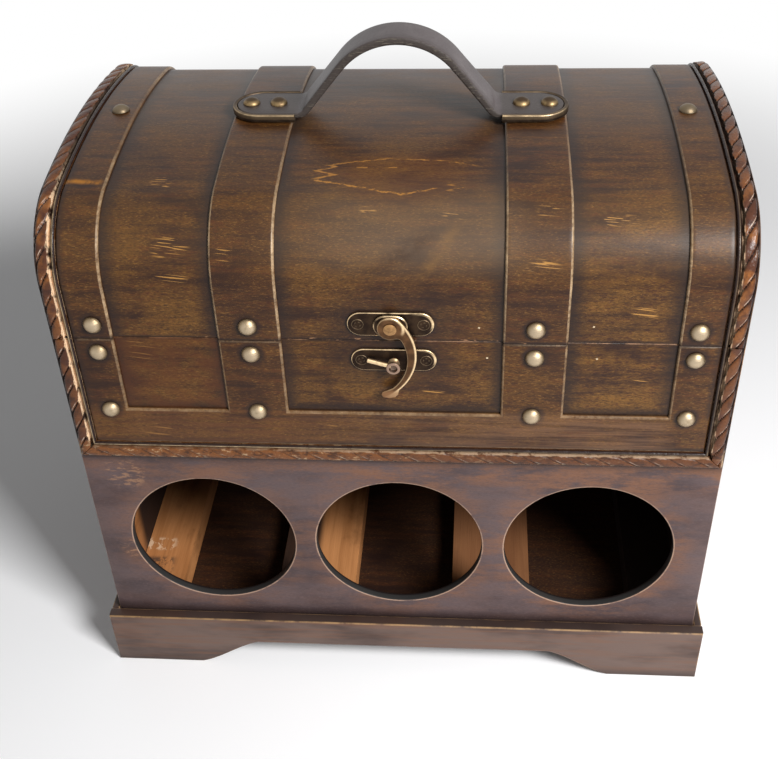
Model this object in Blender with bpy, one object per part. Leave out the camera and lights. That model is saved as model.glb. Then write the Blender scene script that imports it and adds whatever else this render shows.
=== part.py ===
"""Treasure-chest rack: three round holes below a domed, hinged chest with a carrying strap.

Metres, +Z up. The origin is on the ground at the middle of the base, +X is the right-hand side
seen from the front, and the front faces -Y.
"""

import math

import bmesh
import bpy
from mathutils import Vector

# Clear space between two pieces that touch, and the clearance of a pin in its hole
SEAT = 0.0003
PIN_CLEARANCE = 0.0003

# Rack: the round holes in the front, one for each bay
BOTTLE_COUNT = 3
HOLE_RADIUS = 0.045
HOLE_WEB = 0.012
HOLE_END_MARGIN = 0.018
HOLE_SILL = 0.0134
HOLE_HEAD = 0.0146

# Case
CASE_DEPTH = 0.196
PANEL_THICKNESS = 0.005
SIDE_THICKNESS = 0.006
FLOOR_THICKNESS = 0.006
CHEST_DEPTH = 0.0715

# Rails on the rack floor, which leave a trough in each bay
RAIL_HEIGHT = 0.0147
RAIL_CLEAR_HALF = 0.0285

# Plinth: four boards round the foot of the case, each cut away between two feet
PLINTH_HEIGHT = 0.038
PLINTH_FRONT_THICKNESS = 0.0067
PLINTH_SIDE_THICKNESS = 0.0047
ARCH_RISE = 0.0185
ARCH_LAP = 0.0015
FOOT_LENGTH = 0.051
FOOT_SLOPE_LENGTH = 0.035

# Lid: a short wall, a rounded shoulder and a flat crown, bent from one sheet
LID_THICKNESS = 0.004
LID_END_THICKNESS = 0.006
LID_WALL_HEIGHT = 0.028
LID_SHOULDER_RADIUS = 0.036
LID_CROWN_RADIUS = 0.388

# Rope moulding: a bead on its inner edge and a half-round rope beside it
MOULDING_WIDTH = 0.0099
MOULDING_SETBACK = 0.0008
MOULDING_HEIGHT = 0.0036
MOULDING_EDGE = 0.0012
BEAD_WIDTH = 0.0019
BEAD_HEIGHT = 0.0024
MOULDING_ABOVE_TRAY = 0.002

# Flat straps
STRAP_THICKNESS = 0.0015
END_STRAP_WIDTH = 0.020
MIDDLE_STRAP_WIDTH = 0.0305
MIDDLE_STRAP_OFFSET = 0.0015
LOWER_STRAP_HEIGHT = 0.0218

# Dome-headed nails
NAIL_RADIUS = 0.0045
NAIL_RIM = 0.0004
NAIL_RISE = 0.0026
NAIL_FROM_JOINT = 0.008
END_NAIL_INSET = 0.0085
MIDDLE_NAIL_INSET = 0.0152

# Carrying handle: a thick strap whose thinner tails lie in two metal trays
HANDLE_THICKNESS = 0.004
HANDLE_TAIL_THICKNESS = 0.0024
HANDLE_CREST_WIDTH = 0.021
HANDLE_TAIL_WIDTH = 0.025
HANDLE_CREST_RADIUS = 0.034
HANDLE_BEND_RADIUS = 0.008
HANDLE_SLOPE = math.radians(50)
HANDLE_BEND_CLEARANCE = 0.001
HANDLE_NARROWING = 0.5
TRAY_LENGTH = 0.033
TRAY_WIDTH = 0.030
TRAY_HEIGHT = 0.004
TRAY_BASE = 0.001
TRAY_OVERHANG = 0.0015
HANDLE_RIVET_RADIUS = 0.0043
HANDLE_RIVET_RISE = 0.0024
HANDLE_RIVET_INSET = 0.0097
HANDLE_RIVET_SPACING = 0.0138

# Latch: a hook riveted to a plate on the lid, and a post on a plate on the case
LATCH_PLATE_LENGTH = 0.041
LATCH_PLATE_THICKNESS = 0.001
HOOK_PLATE_HEIGHT = 0.013
HOOK_PLATE_FROM_JOINT = 0.0098
HOOK_PAD_LENGTH = 0.0165
HOOK_PAD_HEIGHT = 0.012
HOOK_PAD_RISE = 0.0019
HOOK_THICKNESS = 0.0017
HOOK_HEAD_RADIUS = 0.0062
HOOK_ARM_RADIUS = 0.0287
HOOK_ARM_WIDTH = 0.0041
HOOK_ARM_START = math.radians(43)
HOOK_ARM_END = math.radians(-55)
HOOK_TIP_INNER_TURN = math.radians(12)
HOOK_TIP_OUTER_TURN = math.radians(6)
HOOK_TIP_FLARE = 0.0011
HOOK_RIVET_RADIUS = 0.0017
HOOK_RIVET_HEAD_RADIUS = 0.0031
HOOK_RIVET_HEAD_RISE = 0.0011
CATCH_PLATE_HEIGHT = 0.0125
CATCH_PLATE_FROM_JOINT = 0.0109
CATCH_OFFSET = 0.001
POST_FLANGE_RADIUS = 0.0026
POST_WAIST_RADIUS = 0.0017
POST_RING_RADIUS = 0.0031
POST_RING_THICKNESS = 0.0008
POST_DISH_RADIUS = 0.0019
POST_DISH_FLOOR_RADIUS = 0.0015
POST_DISH_DEPTH = 0.0005
PEG_RADIUS = 0.00075
PEG_LENGTH = 0.013

# Butt hinges on the back
HINGE_WIDTH = 0.030
HINGE_LEAF_HEIGHT = 0.0135
HINGE_LEAF_THICKNESS = 0.001
HINGE_BARREL_RADIUS = 0.0025
HINGE_PIN_RADIUS = 0.001
HINGE_KNUCKLE_WIDTH = 0.010

# Number of flat steps in each kind of curve
HOLE_SIDES = 48
SHOULDER_STEPS = 8
CROWN_STEPS = 6
SLOPE_STEPS = 6
ROUND_END_STEPS = 8
ROUND_SIDES = 16
DOME_STEPS = 3
ROPE_STEPS = 5
HANDLE_BEND_STEPS = 3
HANDLE_CREST_STEPS = 8

# Angles round the moulding's bead, and round the end of the handle's tails
BEAD_ANGLES = (math.pi, math.pi / 2, math.pi / 5)
TAIL_END_ANGLES = (math.radians(78), math.radians(55), math.radians(30), 0.0)

# Largest bend between two faces that still shade as one
BENT_SMOOTHING = math.radians(25)
TURNED_SMOOTHING = math.radians(40)
MOULDING_SMOOTHING = math.radians(50)

# Levels, from the ground up
case_bottom = ARCH_RISE + ARCH_LAP
rack_floor_top = case_bottom + FLOOR_THICKNESS
hole_centre_height = PLINTH_HEIGHT + HOLE_SILL + HOLE_RADIUS
tray_bottom = hole_centre_height + HOLE_RADIUS + HOLE_HEAD
tray_top = tray_bottom + FLOOR_THICKNESS
joint_height = tray_top + CHEST_DEPTH
case_top = joint_height - SEAT / 2
lid_bottom = joint_height + SEAT / 2

# Distances from the middle plane, to the right and to the front
hole_spacing = 2 * HOLE_RADIUS + HOLE_WEB
half_width = (BOTTLE_COUNT * hole_spacing - HOLE_WEB) / 2 + HOLE_END_MARGIN
half_depth = CASE_DEPTH / 2
inner_half_width = half_width - SIDE_THICKNESS - SEAT
inner_half_depth = half_depth - PANEL_THICKNESS - SEAT
moulding_inner = half_width - MOULDING_SETBACK - MOULDING_WIDTH
end_strap_outer = moulding_inner - SEAT
end_strap_inner = end_strap_outer - END_STRAP_WIDTH
middle_strap_inner = hole_spacing / 2 + MIDDLE_STRAP_OFFSET
middle_strap_outer = middle_strap_inner + MIDDLE_STRAP_WIDTH

# Straps and moulding on the case front
moulding_bottom = tray_bottom + MOULDING_ABOVE_TRAY
lower_strap_bottom = moulding_bottom + MOULDING_WIDTH + SEAT
lower_strap_top = lower_strap_bottom + LOWER_STRAP_HEIGHT

# Arcs of the lid's outer face, and its highest line
shoulder_centre_depth = half_depth - LID_SHOULDER_RADIUS
shoulder_centre_height = joint_height + LID_WALL_HEIGHT
arc_offset = LID_CROWN_RADIUS - LID_SHOULDER_RADIUS
crown_centre_height = shoulder_centre_height - math.sqrt(arc_offset ** 2 - shoulder_centre_depth ** 2)
crown_angle = math.atan2(shoulder_centre_height - crown_centre_height, -shoulder_centre_depth)
crown_top = crown_centre_height + LID_CROWN_RADIUS

# Layers outside the case or the lid: straps, and nails on the straps
strap_face = SEAT + STRAP_THICKNESS
nail_seat = strap_face + SEAT

# Layers of the latch, measured out from the front face
latch_plate_face = SEAT + LATCH_PLATE_THICKNESS
hook_pad_face = latch_plate_face + HOOK_PAD_RISE
hook_back = hook_pad_face + SEAT
hook_face = hook_back + HOOK_THICKNESS
hook_rivet_seat = hook_face + SEAT
post_seat = latch_plate_face + SEAT
post_end = hook_back - SEAT

# Joint axes
hinge_axis = Vector((0.0, half_depth + SEAT + HINGE_BARREL_RADIUS, joint_height))
hook_axis = Vector((0.0, -half_depth - hook_back, joint_height + HOOK_PLATE_FROM_JOINT))


def finish(name, colour, roughness, metallic=0.0):
    """Make one material from its colour, roughness and metallic value."""
    material = bpy.data.materials.new(name)
    material.use_nodes = True
    shader = material.node_tree.nodes["Principled BSDF"]
    shader.inputs["Base Color"].default_value = (*colour, 1.0)
    shader.inputs["Roughness"].default_value = roughness
    shader.inputs["Metallic"].default_value = metallic
    material.diffuse_color = (*colour, 1.0)
    return material


def pivot(name, axis_point, carrier=None):
    """Make an empty on a joint's axis, for the pieces that turn with it."""
    empty = bpy.data.objects.new(name, None)
    bpy.context.collection.objects.link(empty)
    empty["model_place"] = axis_point
    empty.location = axis_point
    if carrier:
        empty.parent = carrier
        empty.location = axis_point - Vector(carrier["model_place"])
    return empty


def put(name, mesh, material, at=(0.0, 0.0, 0.0), turn=(0.0, 0.0, 0.0), carrier=None):
    """Place a mesh as a named piece, and hang it on a pivot if it moves."""
    if not mesh.materials:
        mesh.materials.append(material)
    piece = bpy.data.objects.new(name, mesh)
    bpy.context.collection.objects.link(piece)
    piece.location = at
    piece.rotation_euler = turn
    if carrier:
        piece.parent = carrier
        piece.location = Vector(at) - Vector(carrier["model_place"])
    return piece


def combine(piece, shape_mesh, operation):
    """Cut a shape out of a piece, or weld it on, with a Boolean that stays live."""
    shape = bpy.data.objects.new(piece.name + "_" + operation.lower(), shape_mesh)
    bpy.context.collection.objects.link(shape)
    shape.parent = piece.parent
    shape.location = piece.location
    shape.rotation_euler = piece.rotation_euler
    shape.display_type = "WIRE"
    shape.hide_render = True
    boolean = piece.modifiers.new(shape.name, "BOOLEAN")
    boolean.operation = operation
    boolean.solver = "EXACT"
    boolean.object = shape


def closed_mesh(name, shape, smooth_angle=None):
    """Turn a bmesh into a mesh whose faces point out, smooth up to an angle if one is given."""
    bmesh.ops.recalc_face_normals(shape, faces=shape.faces[:])
    mesh = bpy.data.meshes.new(name)
    shape.to_mesh(mesh)
    shape.free()
    if smooth_angle:
        mesh.shade_smooth()
        mesh.set_sharp_from_angle(angle=smooth_angle)
    return mesh


def add_loft(shape, rings):
    """Skin a row of rings with equal numbers of points, and close both ends."""
    rows = [[shape.verts.new(point) for point in ring] for ring in rings]
    count = len(rows[0])
    for near, far in zip(rows, rows[1:]):
        for index in range(count):
            following = (index + 1) % count
            shape.faces.new((near[index], near[following], far[following], far[index]))
    shape.faces.new(rows[0][::-1])
    shape.faces.new(rows[-1])


def loft(name, rings, smooth_angle=None):
    """Make a mesh from one loft."""
    shape = bmesh.new()
    add_loft(shape, rings)
    return closed_mesh(name, shape, smooth_angle)


def prism_rings(outline, axis, low, high):
    """Give both end rings of an outline pushed along an axis."""
    places = {
        "X": lambda a, b, depth: (depth, a, b),
        "Y": lambda a, b, depth: (a, depth, b),
        "Z": lambda a, b, depth: (a, b, depth),
    }
    return [[places[axis](a, b, depth) for a, b in outline] for depth in (low, high)]


def prism(name, outline, axis, low, high, smooth_angle=None):
    """Make a mesh from an outline pushed along an axis."""
    return loft(name, prism_rings(outline, axis, low, high), smooth_angle)


def polar(centre, radius, angle):
    """Give the point at this distance and angle from a centre."""
    return (centre[0] + radius * math.cos(angle), centre[1] + radius * math.sin(angle))


def arc(centre, radius, start, end, steps):
    """List the points of an arc, both ends included."""
    return [polar(centre, radius, start + (end - start) * step / steps) for step in range(steps + 1)]


def circle(centre, radius, sides):
    """List the points of a circle, each once."""
    return arc(centre, radius, 0.0, 2 * math.pi, sides)[:-1]


def stadium(length, height):
    """List the points of a bar with two round ends, centred on the origin."""
    radius = height / 2
    reach = length / 2 - radius
    right = arc((reach, 0.0), radius, -math.pi / 2, math.pi / 2, ROUND_END_STEPS)
    left = arc((-reach, 0.0), radius, math.pi / 2, 3 * math.pi / 2, ROUND_END_STEPS)
    return right + left


def turned_rings(profile, sides):
    """Give the rings of a turned shape from its radii and heights, along +Z."""
    rings = []
    for radius, height in profile:
        rings.append([(x, y, height) for x, y in circle((0.0, 0.0), radius, sides)])
    return rings


def out_of_front(rings):
    """Turn rings along +Z so that they run out of the front, along -Y."""
    return [[(x, -z, y) for x, y, z in ring] for ring in rings]


def dome_profile(radius, rim, rise):
    """List the radii and heights of a domed head, from its seat to near its top."""
    profile = [(radius, 0.0)]
    for step in range(DOME_STEPS + 1):
        angle = math.pi / 2 * step / (DOME_STEPS + 0.5)
        profile.append((radius * math.cos(angle), rim + (rise - rim) * math.sin(angle)))
    return profile


def board(name, low, high, material, carrier=None):
    """Make a plain board between two opposite corners, with its origin at its middle."""
    middle = (Vector(low) + Vector(high)) / 2
    half = (Vector(high) - Vector(low)) / 2
    outline = [(-half.x, -half.y), (half.x, -half.y), (half.x, half.y), (-half.x, half.y)]
    mesh = prism(name, outline, "Z", -half.z, half.z)
    return put(name, mesh, material, at=middle, carrier=carrier)


def bay_centres():
    """List the middle of each bay, from left to right."""
    return [(index - (BOTTLE_COUNT - 1) / 2) * hole_spacing for index in range(BOTTLE_COUNT)]


def front_panel(material):
    """The front of the case, one sheet with a round hole for each bay."""
    low = (-half_width, -half_depth, case_bottom)
    high = (half_width, -half_depth + PANEL_THICKNESS, case_top)
    panel = board("front_panel", low, high, material)
    holes = bmesh.new()
    for centre in bay_centres():
        outline = circle((centre, hole_centre_height - panel.location.z), HOLE_RADIUS, HOLE_SIDES)
        add_loft(holes, prism_rings(outline, "Y", -PANEL_THICKNESS, PANEL_THICKNESS))
    combine(panel, closed_mesh("bottle_holes", holes), "DIFFERENCE")


def case_panels(material):
    """The back, the two sides and both floors of the case."""
    low = (-half_width, half_depth - PANEL_THICKNESS, case_bottom)
    board("back_panel", low, (half_width, half_depth, case_top), material)
    for side, name in ((-1, "side_panel_left"), (1, "side_panel_right")):
        faces = sorted((side * half_width, side * (half_width - SIDE_THICKNESS)))
        low = (faces[0], -inner_half_depth, case_bottom)
        board(name, low, (faces[1], inner_half_depth, case_top), material)
    for name, bottom in (("rack_floor", case_bottom), ("tray_floor", tray_bottom)):
        low = (-inner_half_width, -inner_half_depth, bottom)
        high = (inner_half_width, inner_half_depth, bottom + FLOOR_THICKNESS)
        board(name, low, high, material)


def bottle_rails(material):
    """Bare wooden rails from front to back, which leave a trough in the middle of each bay."""
    edges = [-inner_half_width]
    for centre in bay_centres():
        edges += [centre - RAIL_CLEAR_HALF, centre + RAIL_CLEAR_HALF]
    edges.append(inner_half_width)
    bottom = rack_floor_top + SEAT
    for index in range(0, len(edges), 2):
        low = (edges[index], -inner_half_depth, bottom)
        high = (edges[index + 1], inner_half_depth, bottom + RAIL_HEIGHT)
        board("rail_%d" % (index // 2 + 1), low, high, material)


def plinth_outline(half_length):
    """A plinth board seen from its face: two flat feet and a shallow arch between them."""
    right = []
    foot_end = half_length - FOOT_LENGTH
    for step in range(SLOPE_STEPS + 1):
        share = step / SLOPE_STEPS
        eased = share * share * (3 - 2 * share)
        height = ARCH_RISE * (share + eased) / 2
        right.append((foot_end - FOOT_SLOPE_LENGTH * share, height))
    left = [(-along, height) for along, height in right[::-1]]
    ends = [(-half_length, 0.0), (-half_length, PLINTH_HEIGHT), (half_length, PLINTH_HEIGHT)]
    return right + left + ends + [(half_length, 0.0)]


def plinth(material):
    """Four boards round the foot of the case, the front and back ones over the ends of the others."""
    half_length = half_width + SEAT + PLINTH_SIDE_THICKNESS
    outline = plinth_outline(half_length)
    near = half_depth + SEAT
    for side, name in ((-1, "plinth_front"), (1, "plinth_back")):
        faces = sorted((side * near, side * (near + PLINTH_FRONT_THICKNESS)))
        put(name, prism(name, outline, "Y", *faces), material)
    outline = plinth_outline(half_depth)
    near = half_width + SEAT
    for side, name in ((-1, "plinth_left"), (1, "plinth_right")):
        faces = sorted((side * near, side * (near + PLINTH_SIDE_THICKNESS)))
        put(name, prism(name, outline, "X", *faces), material)


def lid_path(offset):
    """List (y, z) points over the lid, from front joint to back joint, this far outside its face."""
    front = [(-half_depth - offset, lid_bottom)]
    centre = (-shoulder_centre_depth, shoulder_centre_height)
    front += arc(centre, LID_SHOULDER_RADIUS + offset, math.pi, crown_angle, SHOULDER_STEPS)
    back = [(-y, z) for y, z in front[::-1]]
    centre = (0.0, crown_centre_height)
    radius = LID_CROWN_RADIUS + offset
    crown = arc(centre, radius, crown_angle, math.pi - crown_angle, CROWN_STEPS)
    return front + crown[1:-1] + back


def over_lid(name, section, material, carrier):
    """Sweep a section of (x, height above the lid) points over the lid, from front to back."""
    paths = [(x, lid_path(height)) for x, height in section]
    steps = len(paths[0][1])
    rings = []
    for step in range(steps):
        ring = [Vector((x, *path[step])) - hinge_axis for x, path in paths]
        rings.append(ring)
    put(name, loft(name, rings, BENT_SMOOTHING), material, at=hinge_axis, carrier=carrier)


def strip_section(low, high, inner, outer):
    """A flat strip between two x values and two heights above the lid."""
    return [(low, inner), (low, outer), (high, outer), (high, inner)]


def lid_shell(material, carrier):
    """The bent sheet and the two end boards that it is nailed over."""
    section = strip_section(-half_width, half_width, -LID_THICKNESS, 0.0)
    over_lid("lid_shell", section, material, carrier)
    outline = lid_path(-LID_THICKNESS - SEAT)
    for side, name in ((-1, "lid_end_left"), (1, "lid_end_right")):
        faces = sorted((side * half_width, side * (half_width - LID_END_THICKNESS)))
        outer = [(y - hinge_axis.y, z - hinge_axis.z) for y, z in outline]
        put(name, prism(name, outer, "X", *faces), material, at=hinge_axis, carrier=carrier)


def strap_spans():
    """Name each upright strap with its two x edges, from left to right."""
    end = (end_strap_inner, end_strap_outer)
    middle = (middle_strap_inner, middle_strap_outer)
    return [
        ("end_left", -end[1], -end[0]),
        ("middle_left", -middle[1], -middle[0]),
        ("middle_right", middle[0], middle[1]),
        ("end_right", end[0], end[1]),
    ]


def straps(material, carrier):
    """One strap along the case front, four up from it to the joint and four over the lid."""
    face = -half_depth - strap_face
    back = -half_depth - SEAT
    low = (-end_strap_outer, face, lower_strap_bottom)
    board("strap_lower", low, (end_strap_outer, back, lower_strap_top), material)
    for place, left, right in strap_spans():
        low = (left, face, lower_strap_top + SEAT)
        board("case_strap_" + place, low, (right, back, case_top), material)
        section = strip_section(left, right, SEAT, strap_face)
        over_lid("lid_strap_" + place, section, material, carrier)


def moulding_section():
    """List (distance from the inner edge, height) points of the moulding, seen along its length."""
    bead_half = BEAD_WIDTH / 2
    rope_half = (MOULDING_WIDTH - BEAD_WIDTH) / 2
    points = [(0.0, 0.0)]
    for angle in BEAD_ANGLES:
        rise = (BEAD_HEIGHT - MOULDING_EDGE) * math.sin(angle)
        points.append((bead_half + bead_half * math.cos(angle), MOULDING_EDGE + rise))
    for step in range(1, ROPE_STEPS + 1):
        angle = math.pi * (1 - step / ROPE_STEPS)
        rise = (MOULDING_HEIGHT - MOULDING_EDGE) * math.sin(angle)
        points.append((BEAD_WIDTH + rope_half + rope_half * math.cos(angle), MOULDING_EDGE + rise))
    points.append((MOULDING_WIDTH, 0.0))
    return points


def mouldings(material, carrier):
    """The rope moulding: along the case front, up both its edges with mitres, and over the lid."""
    section = moulding_section()
    face = -half_depth - SEAT
    inner_corner = moulding_bottom + MOULDING_WIDTH
    mitre_gap = SEAT * math.sqrt(2)
    rings = []
    for side in (-1, 1):
        ring = [(side * (moulding_inner + u), face - height, inner_corner - u) for u, height in section]
        rings.append(ring)
    put("rope_moulding_lower", loft("rope_moulding_lower", rings, MOULDING_SMOOTHING), material)
    for side, place in ((-1, "left"), (1, "right")):
        bottom = [(side * (moulding_inner + u), face - h, inner_corner - u + mitre_gap) for u, h in section]
        top = [(x, y, case_top) for x, y, z in bottom]
        name = "rope_moulding_case_" + place
        put(name, loft(name, [bottom, top], MOULDING_SMOOTHING), material)
        swept = [(side * (moulding_inner + u), SEAT + height) for u, height in section]
        over_lid("rope_moulding_lid_" + place, swept, material, carrier)


def nails(material, carrier):
    """Dome-headed nails through the straps: in the case, near the lid's edge and on its crown."""
    profile = dome_profile(NAIL_RADIUS, NAIL_RIM, NAIL_RISE)
    mesh = loft("nail", turned_rings(profile, ROUND_SIDES), TURNED_SMOOTHING)
    columns = [end_strap_inner + END_NAIL_INSET, middle_strap_inner + MIDDLE_NAIL_INSET]
    columns = [-columns[0], -columns[1], columns[1], columns[0]]
    forward = (math.pi / 2, 0.0, 0.0)
    front = -half_depth - nail_seat
    number = 0
    for x in columns:
        for z in (joint_height - NAIL_FROM_JOINT, lower_strap_top):
            number += 1
            put("case_nail_%d" % number, mesh, material, at=(x, front, z), turn=forward)
    for number, x in enumerate(columns, 1):
        place = (x, front, joint_height + NAIL_FROM_JOINT)
        put("lid_nail_%d" % number, mesh, material, at=place, turn=forward, carrier=carrier)
    for number, x in enumerate((columns[0], columns[-1]), len(columns) + 1):
        place = (x, 0.0, crown_top + nail_seat)
        put("lid_nail_%d" % number, mesh, material, at=place, carrier=carrier)


def handle_stations():
    """List (x, underside z, slope, share of the way to the arch) along the right half of the strap."""
    foot = tray_inner_end() - HANDLE_BEND_CLEARANCE
    bend = HANDLE_CREST_RADIUS + HANDLE_BEND_RADIUS
    straight = (foot - bend * math.sin(HANDLE_SLOPE)) / math.cos(HANDLE_SLOPE)
    base = handle_tray_seat() + TRAY_BASE + SEAT
    stations = []
    for step in range(HANDLE_BEND_STEPS + 1):
        angle = HANDLE_SLOPE * step / HANDLE_BEND_STEPS
        x = foot - HANDLE_BEND_RADIUS * math.sin(angle)
        z = base + HANDLE_BEND_RADIUS * (1 - math.cos(angle))
        stations.append((x, z, angle, step / (HANDLE_BEND_STEPS + 1)))
    crest_centre = z + straight * math.sin(HANDLE_SLOPE) - HANDLE_CREST_RADIUS * math.cos(HANDLE_SLOPE)
    for step in range(HANDLE_CREST_STEPS + 1):
        angle = HANDLE_SLOPE * (1 - step / HANDLE_CREST_STEPS)
        x = HANDLE_CREST_RADIUS * math.sin(angle)
        z = crest_centre + HANDLE_CREST_RADIUS * math.cos(angle)
        stations.append((x, z, angle, 1.0))
    return stations


def tray_inner_end():
    """The straight end of a handle tray, just inside the strap that it sits on."""
    return middle_strap_inner - TRAY_OVERHANG


def handle_tray_seat():
    """The underside of the handle trays, on the straps at the lid's crown."""
    return crown_top + strap_face + SEAT


def handle_strap(material, carrier):
    """The leather strap: a flat round-ended tail in each tray and a narrower arch between them."""
    base = handle_tray_seat() + TRAY_BASE + SEAT
    tail_radius = HANDLE_TAIL_WIDTH / 2
    tail_centre = tray_inner_end() + TRAY_LENGTH - TRAY_WIDTH / 2
    rings = []
    for angle in TAIL_END_ANGLES:
        x = tail_centre + tail_radius * math.sin(angle)
        rings.append((x, base, 0.0, HANDLE_TAIL_THICKNESS, tail_radius * math.cos(angle)))
    for x, z, slope, share in handle_stations():
        thick = HANDLE_TAIL_THICKNESS + (HANDLE_THICKNESS - HANDLE_TAIL_THICKNESS) * share
        narrowed = min(1.0, (1 - x / tray_inner_end()) / HANDLE_NARROWING)
        half = tail_radius + (HANDLE_CREST_WIDTH / 2 - tail_radius) * narrowed
        rings.append((x, z, slope, thick, half))
    rings += [(-x, z, -slope, thick, half) for x, z, slope, thick, half in rings[-2::-1]]
    loops = []
    for x, z, slope, thick, half in rings:
        top_x = x + thick * math.sin(slope)
        top_z = z + thick * math.cos(slope)
        loop = [(x, -half, z), (top_x, -half, top_z), (top_x, half, top_z), (x, half, z)]
        loops.append([Vector(point) - hinge_axis for point in loop])
    mesh = loft("handle_strap", loops, TURNED_SMOOTHING)
    put("handle_strap", mesh, material, at=hinge_axis, carrier=carrier)


def tray_outline(half_height, start, side):
    """A D shape that runs from a straight inner end to a round outer one, on the left or right."""
    centre = tray_inner_end() + TRAY_LENGTH - TRAY_WIDTH / 2
    points = [(start, -half_height)]
    points += arc((centre, 0.0), half_height, -math.pi / 2, math.pi / 2, 2 * ROUND_END_STEPS)
    points.append((start, half_height))
    return [(side * x, y) for x, y in points]


def handle_trays(metal, rivet_metal, carrier):
    """Two metal trays on the crown, open towards the arch, each with two domed rivets."""
    profile = dome_profile(HANDLE_RIVET_RADIUS, NAIL_RIM, HANDLE_RIVET_RISE)
    rivet = loft("handle_rivet", turned_rings(profile, ROUND_SIDES), TURNED_SMOOTHING)
    seat = handle_tray_seat()
    tail_top = seat + TRAY_BASE + SEAT + HANDLE_TAIL_THICKNESS + SEAT
    recess_half = HANDLE_TAIL_WIDTH / 2 + SEAT
    number = 0
    for side, place in ((-1, "left"), (1, "right")):
        name = "handle_tray_" + place
        outline = tray_outline(TRAY_WIDTH / 2, tray_inner_end(), side)
        tray = put(name, prism(name, outline, "Z", 0.0, TRAY_HEIGHT), metal, at=(0.0, 0.0, seat),
                   carrier=carrier)
        inner = tray_outline(recess_half, tray_inner_end() - TRAY_OVERHANG, side)
        recess = prism(name + "_recess", inner, "Z", TRAY_BASE, TRAY_HEIGHT + TRAY_BASE)
        combine(tray, recess, "DIFFERENCE")
        for step in range(2):
            number += 1
            x = side * (tray_inner_end() + HANDLE_RIVET_INSET + HANDLE_RIVET_SPACING * step)
            put("handle_rivet_%d" % number, rivet, rivet_metal, at=(x, 0.0, tail_top), carrier=carrier)


def hook_plate(material, carrier):
    """The lid's latch plate, with its raised pad and the rivet that the hook turns on."""
    at = Vector((0.0, -half_depth, joint_height + HOOK_PLATE_FROM_JOINT))
    plate = prism("hook_plate", stadium(LATCH_PLATE_LENGTH, HOOK_PLATE_HEIGHT), "Y",
                  -latch_plate_face, -SEAT)
    piece = put("hook_plate", plate, material, at=at, carrier=carrier)
    pad = prism("hook_pad", stadium(HOOK_PAD_LENGTH, HOOK_PAD_HEIGHT), "Y",
                -hook_pad_face, -SEAT - LATCH_PLATE_THICKNESS / 2)
    combine(piece, pad, "UNION")
    profile = [(HOOK_RIVET_RADIUS, latch_plate_face), (HOOK_RIVET_RADIUS, hook_rivet_seat)]
    for radius, height in dome_profile(HOOK_RIVET_HEAD_RADIUS, NAIL_RIM, HOOK_RIVET_HEAD_RISE):
        profile.append((radius, hook_rivet_seat + height))
    rings = out_of_front(turned_rings(profile, ROUND_SIDES))
    combine(piece, loft("hook_rivet", rings), "UNION")


def hook_outline():
    """The hook seen from the front with its rivet at the origin: a round head and a curved arm."""
    reach = HOOK_ARM_RADIUS - HOOK_HEAD_RADIUS
    inner_radius = HOOK_ARM_RADIUS - HOOK_ARM_WIDTH
    centre = (-reach * math.cos(HOOK_ARM_START), -reach * math.sin(HOOK_ARM_START))
    head_turn = math.acos((reach ** 2 + HOOK_HEAD_RADIUS ** 2 - inner_radius ** 2)
                          / (2 * reach * HOOK_HEAD_RADIUS))
    arm_turn = math.acos((reach ** 2 + inner_radius ** 2 - HOOK_HEAD_RADIUS ** 2)
                         / (2 * reach * inner_radius))
    head_end = HOOK_ARM_START + math.pi + head_turn
    outline = arc((0.0, 0.0), HOOK_HEAD_RADIUS, HOOK_ARM_START, head_end, ROUND_SIDES)
    outline += arc(centre, inner_radius, HOOK_ARM_START - arm_turn, HOOK_ARM_END, ROUND_SIDES)[1:]
    outline.append(polar(centre, inner_radius, HOOK_ARM_END - HOOK_TIP_INNER_TURN))
    outline.append(polar(centre, HOOK_ARM_RADIUS + HOOK_TIP_FLARE, HOOK_ARM_END - HOOK_TIP_OUTER_TURN))
    outline += arc(centre, HOOK_ARM_RADIUS, HOOK_ARM_END, HOOK_ARM_START, ROUND_SIDES)[:-1]
    return outline


def hook(material, carrier):
    """The hook that swings on the rivet, with its origin on the rivet's axis."""
    mesh = prism("hook", hook_outline(), "Y", -HOOK_THICKNESS, 0.0)
    piece = put("hook", mesh, material, at=hook_axis, carrier=carrier)
    bore = circle((0.0, 0.0), HOOK_RIVET_RADIUS + PIN_CLEARANCE, ROUND_SIDES)
    cutter = prism("hook_bore", bore, "Y", -2 * HOOK_THICKNESS, HOOK_THICKNESS)
    combine(piece, cutter, "DIFFERENCE")


def catch(material):
    """The case's latch plate and its post, which has a dished end and a peg to one side."""
    at = Vector((CATCH_OFFSET, -half_depth, joint_height - CATCH_PLATE_FROM_JOINT))
    plate = prism("catch_plate", stadium(LATCH_PLATE_LENGTH, CATCH_PLATE_HEIGHT), "Y",
                  -latch_plate_face, -SEAT)
    put("catch_plate", plate, material, at=at)
    ring_back = post_end - POST_RING_THICKNESS
    waist_start = post_seat + (ring_back - post_seat) / 2
    profile = [
        (POST_FLANGE_RADIUS, post_seat),
        (POST_WAIST_RADIUS, waist_start),
        (POST_WAIST_RADIUS, ring_back),
        (POST_RING_RADIUS, ring_back + POST_RING_THICKNESS / 3),
        (POST_RING_RADIUS, post_end - POST_RING_THICKNESS / 3),
        (POST_RING_RADIUS - POST_RING_THICKNESS / 3, post_end),
        (POST_DISH_RADIUS, post_end),
        (POST_DISH_FLOOR_RADIUS, post_end - POST_DISH_DEPTH),
    ]
    rings = out_of_front(turned_rings(profile, ROUND_SIDES))
    post = put("catch_post", loft("catch_post", rings, TURNED_SMOOTHING), material, at=at)
    middle = -(post_seat + post_end) / 2
    outline = circle((middle, 0.0), PEG_RADIUS, ROUND_SIDES // 2)
    combine(post, prism("catch_peg", outline, "X", -PEG_LENGTH, 0.0), "UNION")


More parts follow.
